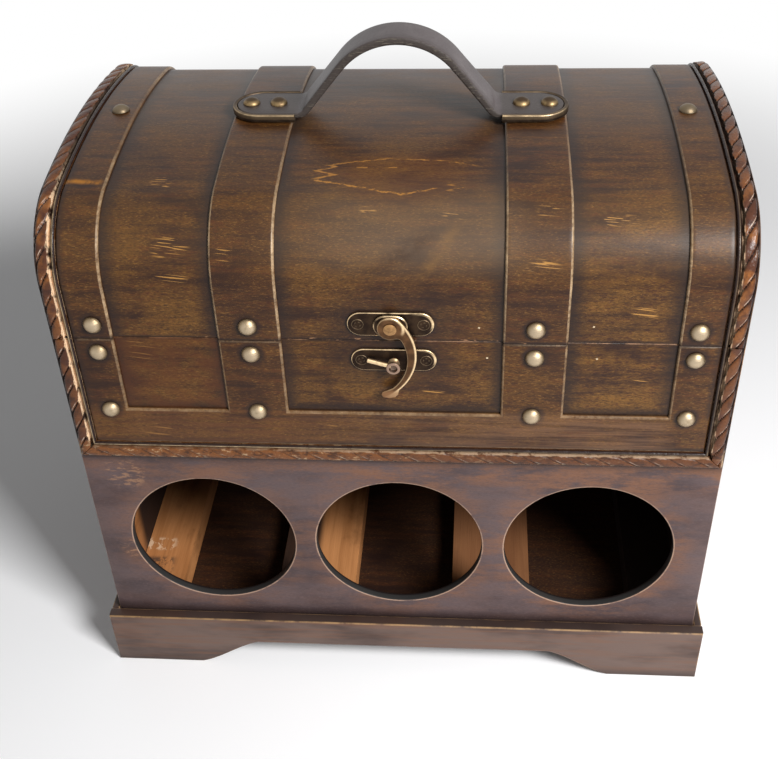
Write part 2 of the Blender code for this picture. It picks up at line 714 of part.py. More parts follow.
def knuckle_outline(side):
    """A hinge knuckle seen from its end, with a tab that runs up (1) or down (-1) to its leaf."""
    leaf_inner = -HINGE_BARREL_RADIUS + HINGE_LEAF_THICKNESS
    tab_end = HINGE_BARREL_RADIUS + 2 * SEAT + HINGE_LEAF_THICKNESS
    turn_end = 2 * math.pi + math.acos(leaf_inner / HINGE_BARREL_RADIUS)
    turn = arc((0.0, 0.0), HINGE_BARREL_RADIUS, math.pi, turn_end, ROUND_SIDES)
    outline = [(-HINGE_BARREL_RADIUS, tab_end)] + turn + [(leaf_inner, tab_end)]
    return [(y, side * z) for y, z in outline]


def hinge_leaf(name, side, centre, knuckles, material, carrier=None):
    """One leaf of a hinge on its knuckles, above (1) or below (-1) the joint."""
    at = hinge_axis + Vector((centre, 0.0, 0.0))
    heights = sorted((side * (HINGE_BARREL_RADIUS + SEAT), side * HINGE_LEAF_HEIGHT))
    back = -HINGE_BARREL_RADIUS
    outline = [
        (back, heights[0]),
        (back + HINGE_LEAF_THICKNESS, heights[0]),
        (back + HINGE_LEAF_THICKNESS, heights[1]),
        (back, heights[1]),
    ]
    leaf = put(name, prism(name, outline, "X", -HINGE_WIDTH / 2, HINGE_WIDTH / 2), material, at=at,
               carrier=carrier)
    shape = bmesh.new()
    for low, high in knuckles:
        add_loft(shape, prism_rings(knuckle_outline(side), "X", low, high))
    combine(leaf, closed_mesh(name + "_knuckles", shape), "UNION")
    return leaf


def hinges(material, carrier):
    """Two butt hinges: the case's leaves hold the pins, the lid's leaves turn on them."""
    gap = (middle_strap_outer + end_strap_inner) / 2
    middle_half = HINGE_KNUCKLE_WIDTH / 2
    outer = [(-HINGE_WIDTH / 2, -middle_half - SEAT), (middle_half + SEAT, HINGE_WIDTH / 2)]
    for side, place in ((-1, "left"), (1, "right")):
        lower = hinge_leaf("hinge_case_leaf_" + place, -1, side * gap, outer, material)
        pin = circle((0.0, 0.0), HINGE_PIN_RADIUS, ROUND_SIDES // 2)
        pin_half = HINGE_WIDTH / 2 - HINGE_LEAF_THICKNESS
        combine(lower, prism("hinge_pin_" + place, pin, "X", -pin_half, pin_half), "UNION")
        upper = hinge_leaf("hinge_lid_leaf_" + place, 1, side * gap, [(-middle_half, middle_half)],
                           material, carrier)
        bore = circle((0.0, 0.0), HINGE_PIN_RADIUS + PIN_CLEARANCE, ROUND_SIDES)
        combine(upper, prism("hinge_bore_" + place, bore, "X", -HINGE_WIDTH, HINGE_WIDTH), "DIFFERENCE")


def clear_scene():
    """Remove what the scene holds before the model is made."""
    for existing in list(bpy.data.objects):
        bpy.data.objects.remove(existing, do_unlink=True)


def build():
    """Make every piece of the rack."""
    clear_scene()
    panel_wood = finish("stained_ply", (0.085, 0.042, 0.016), 0.42)
    inner_wood = finish("inner_ply", (0.16, 0.085, 0.035), 0.6)
    rail_wood = finish("bare_rail_wood", (0.34, 0.15, 0.05), 0.7)
    plinth_wood = finish("plinth_wood", (0.075, 0.037, 0.022), 0.45)
    strap_wood = finish("strap_wood", (0.07, 0.036, 0.017), 0.4)
    rope_wood = finish("carved_rope_wood", (0.17, 0.06, 0.022), 0.45)
    nail_metal = finish("nail_brass", (0.56, 0.47, 0.33), 0.28, 1.0)
    latch_metal = finish("latch_old_brass", (0.2, 0.14, 0.08), 0.35, 1.0)
    hook_metal = finish("hook_old_brass", (0.26, 0.18, 0.1), 0.32, 1.0)
    hinge_metal = finish("hinge_old_brass", (0.19, 0.135, 0.08), 0.38, 1.0)
    tray_metal = finish("tray_old_brass", (0.1, 0.08, 0.06), 0.35, 1.0)
    rivet_metal = finish("rivet_brass", (0.4, 0.3, 0.16), 0.3, 1.0)
    leather = finish("handle_leather", (0.062, 0.045, 0.045), 0.5)

    lid_pivot = pivot("lid_pivot", hinge_axis)
    hook_pivot = pivot("hook_pivot", hook_axis, lid_pivot)

    front_panel(panel_wood)
    case_panels(inner_wood)
    bottle_rails(rail_wood)
    plinth(plinth_wood)
    lid_shell(panel_wood, lid_pivot)
    straps(strap_wood, lid_pivot)
    mouldings(rope_wood, lid_pivot)
    nails(nail_metal, lid_pivot)
    handle_strap(leather, lid_pivot)
    handle_trays(tray_metal, rivet_metal, lid_pivot)
    hook_plate(latch_metal, lid_pivot)
    hook(hook_metal, hook_pivot)
    catch(latch_metal)
    hinges(hinge_metal, lid_pivot)


build()
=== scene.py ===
from functools import reduce
from math import asin, atan2, ceil, cos, degrees, hypot, pi, radians, sin, sqrt

import bmesh
import bpy
from mathutils import Matrix, Vector


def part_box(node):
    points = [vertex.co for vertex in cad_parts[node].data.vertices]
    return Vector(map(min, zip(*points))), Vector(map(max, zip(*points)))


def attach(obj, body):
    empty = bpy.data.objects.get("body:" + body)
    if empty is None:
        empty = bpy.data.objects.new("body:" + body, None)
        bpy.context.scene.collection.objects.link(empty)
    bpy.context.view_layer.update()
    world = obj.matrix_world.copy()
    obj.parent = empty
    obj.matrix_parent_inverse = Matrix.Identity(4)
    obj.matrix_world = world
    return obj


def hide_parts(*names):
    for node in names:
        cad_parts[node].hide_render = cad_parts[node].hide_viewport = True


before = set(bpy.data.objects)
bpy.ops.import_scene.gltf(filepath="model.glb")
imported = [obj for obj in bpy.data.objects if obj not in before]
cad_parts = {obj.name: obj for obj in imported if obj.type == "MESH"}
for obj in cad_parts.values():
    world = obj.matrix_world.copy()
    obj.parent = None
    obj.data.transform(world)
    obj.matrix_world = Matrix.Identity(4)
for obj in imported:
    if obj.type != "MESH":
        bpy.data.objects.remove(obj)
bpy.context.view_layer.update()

# Front panel of the case. One sheet of thin ply with three round holes sawn through it. It is stained walnut
# and rubbed back by hand: golden in the middle of each bay, dark beside the straps, bare on its worn rims.
# Beside the straps and above the lower strap, shade is painted, and more gold toward the right is painted
# light.
HOLE_RADIUS = 0.045
HOLE_SPACING = 0.102
HOLE_HEIGHT = 0.0964
HOLE_SIDES = 96
PANEL_ROUNDING = 0.0006
SMOOTH_ANGLE = radians(35)
RACK_TOP = 0.156
CHEST_FLOOR = 0.162
JOINT_HEIGHT = 0.2335
LOWER_STRAP_TOP = 0.190
MIDDLE_STRAP_INNER = 0.0525
MIDDLE_STRAP_OUTER = 0.083
END_STRAP_INNER = 0.134
POOL_AND_SHADE_REACH = 0.010
LATCH_FLAT = 0.014
GRAIN_DEPTH = 0.00012
CASE_SCRATCHES = ((-0.123, 0.226, 0.013, 0.010), (0.119, 0.213, 0.006, 0.004), (0.020, 0.203, 0.008, 0.004))
SHEEN = 0.21
STAIN_DEEP = (0.020, 0.0075, 0.0045)
STAIN = (0.044, 0.0155, 0.0058)
STAIN_GOLD = (0.152, 0.068, 0.0120)
STAIN_RUSSET = (0.088, 0.026, 0.0070)
STAIN_LIGHT = (0.270, 0.135, 0.036)
SCRATCH_GOLD = (0.50, 0.25, 0.062)
RIM_PALE = (0.46, 0.30, 0.21)
HOLE_WALL = (0.025, 0.026, 0.026)
WORN_PLY = (0.42, 0.22, 0.11)
# Near-black brown, for dirt and for painted shade.
DIRT_AND_SHADE = (0.012, 0.0070, 0.0065)
PLUM_DARK = (0.052, 0.034, 0.036)
PLUM = (0.098, 0.066, 0.066)
PLUM_LIGHT = (0.150, 0.103, 0.094)
PLUM_RUSSET = (0.180, 0.080, 0.042)


def arithmetic(operation):
    """A method that works on values with one Math node."""
    def method(value, *others):
        terms = dict(enumerate((value, *others)))
        return value.recipe.node("ShaderNodeMath", {"operation": operation}, terms)
    return method


class Value:
    """A number or a colour that varies over a surface or along a path, and the socket that it comes from."""

    __add__ = __radd__ = arithmetic("ADD")
    __sub__ = arithmetic("SUBTRACT")
    __mul__ = __rmul__ = arithmetic("MULTIPLY")
    __truediv__ = arithmetic("DIVIDE")
    __abs__ = arithmetic("ABSOLUTE")
    least = arithmetic("MINIMUM")
    most = arithmetic("MAXIMUM")
    root = arithmetic("SQRT")
    fraction = arithmetic("FRACT")
    arcsine = arithmetic("ARCSINE")

    def __init__(self, recipe, socket):
        self.recipe = recipe
        self.socket = socket

    def __rsub__(self, other):
        return self.recipe.node("ShaderNodeMath", {"operation": "SUBTRACT"}, {0: other, 1: self})

    def rise(self, start, end):
        """0 up to start and 1 from end on, with a soft step between. It falls where start is above end."""
        limits = {"Value": self, "From Min": start, "From Max": end}
        return self.recipe.node("ShaderNodeMapRange", {"interpolation_type": "SMOOTHSTEP"}, limits)

    def between(self, start, full, fading, end):
        """1 from full to fading, with soft steps up from start and down to end."""
        return self.rise(start, full) * self.rise(end, fading)

    def held(self):
        """This number, held between 0 and 1."""
        return self.least(1.0).most(0.0)

    def other(self, name):
        """Another output of the node that this value comes from."""
        return Value(self.recipe, pick(self.socket.node.outputs, name))

    def cover(self, paint, mask):
        """This colour, painted over where the mask is 1."""
        return self.recipe.mix(self, paint, mask)


def pick(sockets, name):
    """The socket with this name, or with this place among those in use."""
    used = [socket for socket in sockets if socket.enabled]
    if isinstance(name, int):
        return used[name]
    return next(socket for socket in used if socket.name == name)


class Recipe:
    """The nodes of one finish or of one shape."""

    def __init__(self, tree):
        self.tree = tree

    def node(self, kind, settings=None, sockets=None, output=0):
        added = self.tree.nodes.new(kind)
        for name, setting in (settings or {}).items():
            setattr(added, name, setting)
        for name, value in (sockets or {}).items():
            socket = pick(added.inputs, name)
            if isinstance(value, Value):
                self.tree.links.new(value.socket, socket)
            elif socket.type == "RGBA":
                socket.default_value = (*value, 1)
            else:
                socket.default_value = value
        return Value(self, pick(added.outputs, output))

    def mix(self, first, second, mask):
        paints = {"Factor": mask, "A": first, "B": second}
        return self.node("ShaderNodeMix", {"data_type": "RGBA"}, paints, "Result")

    def place(self):
        """The point on the object, and its three coordinates."""
        point = self.node("ShaderNodeTexCoord", output="Object")
        x = self.node("ShaderNodeSeparateXYZ", sockets={0: point})
        return point, x, x.other("Y"), x.other("Z")

    def point(self, x, y, z):
        return self.node("ShaderNodeCombineXYZ", sockets={"X": x, "Y": y, "Z": z})

    def noise(self, point, per_metre, detail=2.0, roughness=0.5):
        """Cloudy noise, with one number of blotches to the metre or with one along each axis."""
        if not isinstance(per_metre, tuple):
            per_metre = (per_metre,) * 3
        scaled = self.node("ShaderNodeVectorMath", {"operation": "MULTIPLY"}, {0: point, 1: per_metre})
        sizes = {"Vector": scaled, "Scale": 1.0, "Detail": detail, "Roughness": roughness}
        return self.node("ShaderNodeTexNoise", sockets=sizes)

    def attribute(self, name):
        return self.node("ShaderNodeAttribute", {"attribute_name": name}, output="Fac")

    def bump(self, height, distance):
        return self.node("ShaderNodeBump", sockets={"Height": height, "Distance": distance})


class Coat:
    """What varies over a finished surface: its colour, its roughness and its relief."""

    def __init__(self, colour, roughness, relief=None):
        self.colour = colour
        self.roughness = roughness
        self.relief = relief

    def cover(self, paint, mask):
        """Paints it over where the mask is 1."""
        self.colour = self.colour.cover(paint, mask)


def finish(name, paint, sheen=0.5, metal=0.0):
    """A finish whose coat comes from `paint`. Its sheen and its metal are the same all over."""
    material = bpy.data.materials.new(name)
    material.use_nodes = True
    shader = material.node_tree.nodes["Principled BSDF"]
    shader.inputs["Specular IOR Level"].default_value = sheen
    shader.inputs["Metallic"].default_value = metal
    coat = paint(Recipe(material.node_tree))
    varied = {"Base Color": coat.colour, "Roughness": coat.roughness, "Normal": coat.relief}
    for socket, value in varied.items():
        if value is not None:
            material.node_tree.links.new(value.socket, shader.inputs[socket])
    return material


def rectangle(left, right, bottom, top):
    return [(left, bottom), (right, bottom), (right, top), (left, top)]


def arc(centre, radius, start, end, steps):
    """Points on an arc between two angles in degrees, both ends included."""
    angles = [radians(start + (end - start) * step / steps) for step in range(steps + 1)]
    return [(centre[0] + radius * cos(angle), centre[1] + radius * sin(angle)) for angle in angles]


def circle(centre, radius, sides):
    return arc(centre, radius, 0, 360, sides)[:-1]


def new_piece(name, mesh, *finishes):
    piece = bpy.data.objects.new(name, mesh)
    bpy.context.scene.collection.objects.link(piece)
    for material in finishes:
        mesh.materials.append(material)
    return piece


def fit(piece, body, slot, *nodes):
    """Fixes a piece to the body that carries it, and hides the nodes that it replaces."""
    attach(piece, body)
    if nodes:
        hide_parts(*nodes)


def to_mesh(holder, name):
    """The plain mesh of an object with its modifiers or its curve worked out. The object is thrown away."""
    bpy.context.view_layer.update()
    graph = bpy.context.evaluated_depsgraph_get()
    mesh = bpy.data.meshes.new_from_object(holder.evaluated_get(graph))
    mesh.name = name
    bpy.data.objects.remove(holder)
    return mesh


def facing_front(a, b, w):
    return (a, w, b)


def cut_sheet(name, outlines, facing, low, high, rounding, steps=3):
    """A board or plate cut to closed outlines, the rim first and then its holes, with all its edges rounded.
    It reaches from `low` to `high` along the axis that it faces. Its `wear` is 1 on the rounded edges."""
    drawing = bpy.data.curves.new(name, "CURVE")
    drawing.dimensions = "2D"
    drawing.fill_mode = "BOTH"
    drawing.extrude = (high - low) / 2 - rounding
    drawing.bevel_depth = rounding
    drawing.bevel_resolution = steps - 1
    drawing.offset = -rounding
    for outline in outlines:
        spline = drawing.splines.new("POLY")
        spline.points.add(len(outline) - 1)
        spline.use_cyclic_u = True
        for point, (a, b) in zip(spline.points, outline):
            point.co = (a, b, 0, 1)
    mesh = to_mesh(new_piece(name, drawing), name)
    form = bmesh.new()
    form.from_mesh(mesh)
    bmesh.ops.remove_doubles(form, verts=form.verts, dist=rounding / 100)
    wear = form.verts.layers.float.new("wear")
    middle = (low + high) / 2
    for vertex in form.verts:
        a, b, w = vertex.co
        share = (abs(w) - drawing.extrude) / rounding
        vertex[wear] = sin(2 * asin(min(max(share, 0.0), 1.0)))
        vertex.co = facing(a, b, w + middle)
    bmesh.ops.recalc_face_normals(form, faces=form.faces)
    across = Vector(facing(0, 0, 1))
    for face in form.faces:
        face.smooth = abs(face.normal.dot(across)) < 0.9999
    form.to_mesh(mesh)
    form.free()
    mesh.set_sharp_from_angle(angle=SMOOTH_ANGLE)
    return mesh


def near_line(value, line, reach):
    """1 on a line across an axis, falling to 0 at `reach` from it."""
    return abs(value - line).rise(reach, 0.0)


def away(across, above):
    """How far a point is from one that lies at these two distances from it."""
    return (across * across + above * above).root()


def strongest(masks):
    """The highest of the masks at each point."""
    return reduce(Value.most, masks)


def stained(recipe, point, gold_rub_and_light, dirt_and_shade, worn, scratch=0.0):
    """Walnut stain on ply whose grain runs along X. `gold_rub_and_light` is where it was rubbed back to gold,
    and where more gold is painted as light. `dirt_and_shade` is where dirt and painted shade darken it.
    """
    cloud = recipe.noise(point, (13, 21, 21), 4, 0.6)
    mottle = recipe.noise(point, (52, 85, 85), 4, 0.65)
    streak = recipe.noise(point, (30, 260, 260), 3, 0.6)
    fibre = recipe.noise(point, (330, 1300, 1300), 3, 0.65)
    fleck = recipe.noise(point, (620, 2300, 2300), 2, 0.6)
    tone = cloud * 0.5 + mottle * 0.3 + streak * 0.2
    gloss = 0.30 + mottle * 0.14 + worn * 0.2
    grain = recipe.bump(fibre * 0.5 + streak * 0.3 + mottle * 0.25 - scratch * 0.5, GRAIN_DEPTH)
    coat = Coat(recipe.mix(STAIN_DEEP, STAIN, tone.rise(0.34, 0.53)), gloss, grain)
    coat.cover(STAIN_RUSSET, streak.rise(0.48, 0.66) * 0.5)
    coat.cover(STAIN_GOLD, gold_rub_and_light * (tone * 0.55 + fibre * 0.45).rise(0.43, 0.60))
    coat.cover(STAIN_DEEP, streak.rise(0.50, 0.32) * 0.5)
    coat.cover(STAIN_DEEP, fibre.rise(0.44, 0.66) * 0.75)
    coat.cover(STAIN_LIGHT, fleck.rise(0.54, 0.74) * (tone.rise(0.36, 0.56) * 0.5))
    coat.cover(STAIN_DEEP, fleck.rise(0.48, 0.28) * 0.5)
    coat.cover(SCRATCH_GOLD, scratch * 0.85)
    # Darkened by dirt, and in places by painted shade.
    coat.cover(DIRT_AND_SHADE, (dirt_and_shade * (mottle * 1.2 + 0.4)).least(1.0) * 0.80)
    coat.cover(WORN_PLY, worn)
    return coat


def scratches(recipe, x, y, z, clusters):
    """Clusters of short thin scratches along X, each at (x, height) with its half length and half height."""
    tilted = recipe.point(x, y, z + x * 0.12)
    streaks = recipe.noise(tilted, (30, 1400, 1400), 0.5, 0.5).rise(0.61, 0.68)
    marked = strongest(
        near_line(x, across, half_length) * near_line(z, level, half_height)
        for across, level, half_length, half_height in clusters
    )
    return streaks * marked.rise(0.05, 0.6) * 0.8


def strap_pool_and_shade(x):
    """1 beside the upright straps, where dark stain has gathered and painted shade lies along their edges."""
    lines = (MIDDLE_STRAP_INNER, MIDDLE_STRAP_OUTER, END_STRAP_INNER)
    out = abs(x)
    return strongest(near_line(out, line, POOL_AND_SHADE_REACH) for line in lines)


def from_plates(x, z):
    """How far a point is from the middle line of each latch plate."""
    return [away((abs(x - across) - LATCH_FLAT).most(0.0), z - height) for across, height in LATCH_CENTRES]


def around_latch(x, z):
    """1 in the dark halo round the two latch plates."""
    halos = (near.rise(0.0105, 0.0065).most(near.rise(0.0240, 0.0075) * 0.55) for near in from_plates(x, z))
    return strongest(halos)


def rack_stain(recipe, point, x, z, from_rim, rim_worn, edge):
    """The duller plum stain of the rack below the chest, russet near the holes and in a band above them."""
    cloud = recipe.noise(point, (12, 30, 30), 5, 0.7)
    smear = recipe.noise(point, (34, 130, 130), 6, 0.75)
    grain = recipe.noise(point, (500, 1500, 1500), 3, 0.7)
    smudges = recipe.noise(point, (150, 420, 420), 4, 0.7).rise(0.50, 0.64)
    top_band = z.between(0.134, 0.150, 0.154, 0.160)
    near_rims = from_rim.rise(0.016, 0.002) * (x.rise(-0.05, 0.06) * 0.25 + 0.4)
    russet = top_band * (x.rise(-0.12, 0.08) * 0.6 + 0.4) + near_rims + 0.14
    corner = near_line(x, -0.144, 0.017) * near_line(z, 0.144, 0.014)
    corner = corner.most(near_line(x, -0.149, 0.010) * near_line(z, 0.088, 0.012) * 0.7)
    plum = recipe.mix(PLUM_DARK, PLUM, cloud.rise(0.34, 0.60))
    plum = plum.cover(PLUM_RUSSET, smear.rise(0.38, 0.62) * russet.least(1.0) * 0.9)
    # Darker in a band under the rope moulding, and painted shade just above the plinth's ledge.
    plum = plum.cover(DIRT_AND_SHADE, z.rise(0.150, 0.160).most(z.rise(0.046, 0.036)) * 0.75)
    plum = plum.cover(PLUM_DARK, grain.rise(0.50, 0.72) * 0.45)
    plum = plum.cover(PLUM_LIGHT, grain.rise(0.48, 0.26) * 0.45)
    plum = plum.cover(WORN_PLY, smudges * corner.rise(0.05, 0.5) * 0.42)
    plum = plum.cover(RIM_PALE, rim_worn.most(edge * 0.4) * 0.75)
    return plum.cover(HOLE_WALL, from_rim.rise(0.00025, 0.0001) * 0.95)


def panel_paint(recipe):
    point, x, y, z = recipe.place()
    hole_gap = abs(x).least(abs(abs(x) - HOLE_SPACING))
    from_rim = away(hole_gap, z - HOLE_HEIGHT) - HOLE_RADIUS
    rub_noise = recipe.noise(point, (90, 140, 140), 4, 0.7)
    edge = recipe.attribute("wear")
    rim_worn = near_line(from_rim, 0.00045, 0.0006) * rub_noise.rise(0.28, 0.50)
    joint = z.rise(JOINT_HEIGHT - 0.0011, JOINT_HEIGHT - 0.0003) * rub_noise.rise(0.58, 0.66)
    worn = rim_worn.most(edge * rub_noise.rise(0.45, 0.65) * 0.7).most(joint * 0.5)
    upper = z.rise(RACK_TOP, CHEST_FLOOR)
    # Pooled stain and painted shade beside the straps; painted shadow in a band above the lower strap.
    dirt_and_shade = strap_pool_and_shade(x) * upper
    dirt_and_shade = dirt_and_shade.most(z.rise(LOWER_STRAP_TOP + 0.008, LOWER_STRAP_TOP) * upper)
    dirt_and_shade = dirt_and_shade.most(z.rise(JOINT_HEIGHT - 0.002, JOINT_HEIGHT))
    dirt_and_shade = dirt_and_shade.most(around_latch(x, z)).most(from_rim.rise(0.0035, 0.0012) * 0.35)
    scratch = scratches(recipe, x, y, z, CASE_SCRATCHES)
    # More gold toward the right: painted light, where the lamp's side is brighter.
    gold_rub_and_light = upper * (x.rise(0.01, 0.08) * 0.40 + 0.95) + 0.15
    coat = stained(recipe, point, gold_rub_and_light, dirt_and_shade, worn * 0.75, scratch)
    coat.cover(STAIN_RUSSET, x.rise(-0.04, -0.09) * rub_noise.rise(0.30, 0.62) * 0.5)
    coat.cover(rack_stain(recipe, point, x, z, from_rim, rim_worn, edge), 1 - upper)
    coat.cover(DIRT_AND_SHADE, y.rise(panel_low.y + 0.003, panel_low.y + 0.0042) * 0.9)
    coat.roughness = coat.roughness - (from_rim.rise(0.0, -0.001) * 0.12)
    return coat


latch_middles = [sum(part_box(node), Vector()) / 2 for node in ("hook_plate", "catch_plate")]
LATCH_CENTRES = [(middle.x, middle.z) for middle in latch_middles]
panel_low, panel_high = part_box("front_panel")
hole_middles = (-HOLE_SPACING, 0.0, HOLE_SPACING)
holes = [circle((middle, HOLE_HEIGHT), HOLE_RADIUS, HOLE_SIDES) for middle in hole_middles]
panel_outlines = [rectangle(panel_low.x, panel_high.x, panel_low.z, panel_high.z), *holes]
front_mesh = cut_sheet("front_board", panel_outlines, facing_front, panel_low.y, panel_high.y, PANEL_ROUNDING)
front_board = new_piece("front_board", front_mesh, finish("stained panel", panel_paint, SHEEN))
fit(front_board, "case", "stained_ply", "front_panel")

# Sides, back and floors of the case. Plain ply boards glued and pinned between the front and the back.
# Outside they carry the same walnut stain. Inside, the sides were left bare, and the floors and the back
# stained. Below the chest floor, shade is painted over the bare insides of the sides, but for a strip at the
# front of the left one.
BARE_PINE = (0.52, 0.225, 0.082)
BARE_PINE_DARK = (0.37, 0.150, 0.050)
INSIDE_SHEEN = 0.20
SIDE_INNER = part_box("side_panel_right")[0].x


def bare_wood(recipe, point):
    """Unstained wood whose grain runs from front to back, and its fibres."""
    ring = recipe.noise(point, (160, 10, 90), 3, 0.6)
    fibre = recipe.noise(point, (900, 30, 900), 2, 0.6)
    tone = recipe.mix(BARE_PINE_DARK, BARE_PINE, ring.rise(0.34, 0.64))
    return tone.cover(BARE_PINE_DARK, fibre.rise(0.5, 0.75) * 0.35), fibre


def leave_bare(coat, wood, inside):
    """Leaves the inside of a stained board in bare wood, which is duller."""
    coat.cover(wood, inside)
    coat.roughness = coat.roughness + inside * 0.25
    return coat


def under_joint(z):
    """1 just below the joint with the lid, where the boards are darkened."""
    return z.rise(JOINT_HEIGHT - 0.0075, JOINT_HEIGHT) * 0.6


def side_paint(recipe):
    point, x, y, z = recipe.place()
    rub_noise = recipe.noise(point, (90, 55, 90), 4, 0.7)
    dirt_and_shade = z.rise(0.050, 0.036).most(under_joint(z)).most(abs(y).rise(0.086, 0.093) * 0.5)
    worn = z.rise(JOINT_HEIGHT - 0.0016, JOINT_HEIGHT) * rub_noise.rise(0.48, 0.62) * 0.6
    coat = stained(recipe, recipe.point(y, x, z), z.rise(0.14, 0.19) * 0.6 + 0.25, dirt_and_shade, worn)
    wood, fibre = bare_wood(recipe, point)
    # Painted shade on the inner sides below the chest floor, all but a front strip of the left one.
    wall_painted_shade = y.rise(-0.060, -0.048).most(x.rise(-0.1, 0.1)) * z.rise(RACK_TOP, RACK_TOP - 0.001)
    wood = wood.cover(STAIN_RUSSET, 0.35).cover(DIRT_AND_SHADE, wall_painted_shade * 0.975)
    return leave_bare(coat, wood, abs(x).rise(SIDE_INNER + 0.0012, SIDE_INNER + 0.0006))


def floor_paint(recipe):
    point, x, y, z = recipe.place()
    coat = stained(recipe, point, 0.1, 0.55, 0.0)
    coat.roughness = coat.roughness + 0.2
    return coat


def back_paint(recipe):
    point, x, y, z = recipe.place()
    dirt_and_shade = z.rise(0.052, 0.038).most(under_joint(z)).most(abs(x).rise(0.145, 0.163) * 0.5)
    return stained(recipe, point, z.rise(0.02, 0.2) * 0.5 + 0.2, dirt_and_shade, 0.0)


def dress(material, *nodes):
    """Gives the finish to nodes whose own shape stays."""
    for node in nodes:
        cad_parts[node].data.materials.clear()
        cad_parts[node].data.materials.append(material)


dress(finish("stained side", side_paint, SHEEN), "side_panel_left", "side_panel_right")
dress(finish("dark stained inside", floor_paint, INSIDE_SHEEN), "rack_floor", "tray_floor")
dress(finish("stained back", back_paint, SHEEN), "back_panel")

# Rails. Four softwood battens from front to back on the rack floor, sawn, planed and glued down. They were
# left without stain, but dirt and old stain darken them, and the left one is scuffed pale near its front
# end. Shade is painted on them too: toward the back, over the two right-hand rails, over the left part of the
# second, and in a patch at the left one's front end.
RAIL_SCUFF = (0.85, 0.62, 0.42)
RAIL_SHADE = (0.085, 0.034, 0.018)


def rail_paint(recipe):
    point, x, y, z = recipe.place()
    wood, fibre = bare_wood(recipe, point)
    dirt = recipe.noise(point, (60, 30, 60), 4, 0.7).rise(0.5, 0.72)
    ragged = recipe.noise(point, (170, 110, 170), 4, 0.7)
    scuffs = ragged.rise(0.50, 0.57) * near_line(y, -0.049, 0.008).rise(0.1, 0.6) * x.rise(-0.139, -0.145)
    # A dark patch at the left rail's front end: painted shade.
    front_end_shade = ragged.rise(0.44, 0.54) * near_line(y, -0.066, 0.010).rise(0.1, 0.6) * x.rise(-0.137, -0.143)
    # Painted shade over the left part of the second rail and over the fourth.
    rail_painted_shade = near_line(x, -0.064, 0.018).rise(0.1, 0.5).most(x.rise(0.10, 0.13))
    coat = Coat(wood, 0.55 + fibre * 0.2, recipe.bump(fibre, 0.00015))
    coat.cover(STAIN, dirt * 0.35)
    # Painted shade, darker toward the back of each rail.
    coat.cover(RAIL_SHADE, y.rise(-0.050, 0.010) * 0.5)
    coat.cover(RAIL_SCUFF, scuffs * 0.6)
    coat.cover(HOLE_WALL, front_end_shade * 0.75)
    # Painted shade over the two right-hand rails.
    coat.cover(RAIL_SHADE, x.rise(0.0, 0.02) * 0.72)
    coat.cover(DIRT_AND_SHADE, rail_painted_shade * 0.96)
    return coat


dress(finish("bare pine", rail_paint, INSIDE_SHEEN), *[f"rail_{number}" for number in range(1, 5)])

# Plinth. Four boards round the foot of the case, sawn to a shallow arch between two feet with soft slopes,
# mitred at the corners and pinned. Their upper edges are rounded over and worn, and the stain has a plum
# cast.
FOOT_LENGTH = 0.051
SLOPE_LENGTH = 0.035
ARCH_HEIGHT = 0.0185
SLOPE_STEPS = 14
PLINTH_ROUNDING = 0.0011
PLINTH_DARK = (0.060, 0.037, 0.031)
PLINTH_BROWN = (0.140, 0.092, 0.075)
EDGE_GOLD = (0.50, 0.30, 0.13)
LEDGE_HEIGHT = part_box("plinth_front")[1].z


def facing_side(a, b, w):
    return (w, a, b)


def plinth_outline(half, bottom, top):
    """A board on two feet: each slope starts as a corner at the foot and runs smoothly into the arch."""
    slope = []
    for step in range(SLOPE_STEPS + 1):
        share = step / SLOPE_STEPS
        height = ARCH_HEIGHT * (share + share * share * (3 - 2 * share)) / 2
        slope.append((-half + FOOT_LENGTH + SLOPE_LENGTH * share, bottom + height))
    mirrored = [(-a, b) for a, b in reversed(slope)]
    return [(-half, top), (-half, bottom), *slope, *mirrored, (half, bottom), (half, top)]


def plinth_paint(recipe):
    point, x, y, z = recipe.place()
    along = recipe.noise(point, (22, 22, 420), 3, 0.6)
    cloud = recipe.noise(point, (12, 12, 40), 4, 0.6)
    rub_noise = recipe.noise(point, (90, 90, 140), 4, 0.7)
    edge = recipe.attribute("wear")
    ledge_shade = z.rise(LEDGE_HEIGHT - 0.0006, LEDGE_HEIGHT - 0.0001)
    top_edge = edge * z.rise(LEDGE_HEIGHT - 0.003, LEDGE_HEIGHT - 0.002)
    feet_edge = edge * z.rise(0.030, 0.020) * 0.35
    worn = top_edge.rise(0.25, 0.75) * rub_noise.rise(0.30, 0.62) * 0.5
    grain = recipe.bump(along * 0.6 + rub_noise * 0.4, 0.00015)
    brown = recipe.mix(PLINTH_DARK, PLINTH_BROWN, cloud.rise(0.34, 0.60))
    coat = Coat(brown, 0.38 + rub_noise * 0.16, grain)
    coat.cover(PLUM_RUSSET, along.rise(0.46, 0.66) * 0.4)
    # Painted shade on the top of the ledge; darker also along the bottom edge.
    coat.cover(DIRT_AND_SHADE, (ledge_shade * 0.72).most(z.rise(0.008, 0.001) * 0.5))
    coat.cover(EDGE_GOLD, worn.most(feet_edge * rub_noise.rise(0.4, 0.6)))
    return coat


plinth_finish = finish("plum stained plinth", plinth_paint, SHEEN)
for word, facing, across in (
    ("front", facing_front, 0),
    ("back", facing_front, 0),
    ("left", facing_side, 1),
    ("right", facing_side, 1),
):
    name = f"plinth_{word}_board"
    low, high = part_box("plinth_" + word)
    outline = plinth_outline(high[across], low.z, high.z)
    board_mesh = cut_sheet(name, [outline], facing, low[1 - across], high[1 - across], PLINTH_ROUNDING)
    fit(new_piece(name, board_mesh, plinth_finish), "case", "plinth_wood", "plinth_" + word)

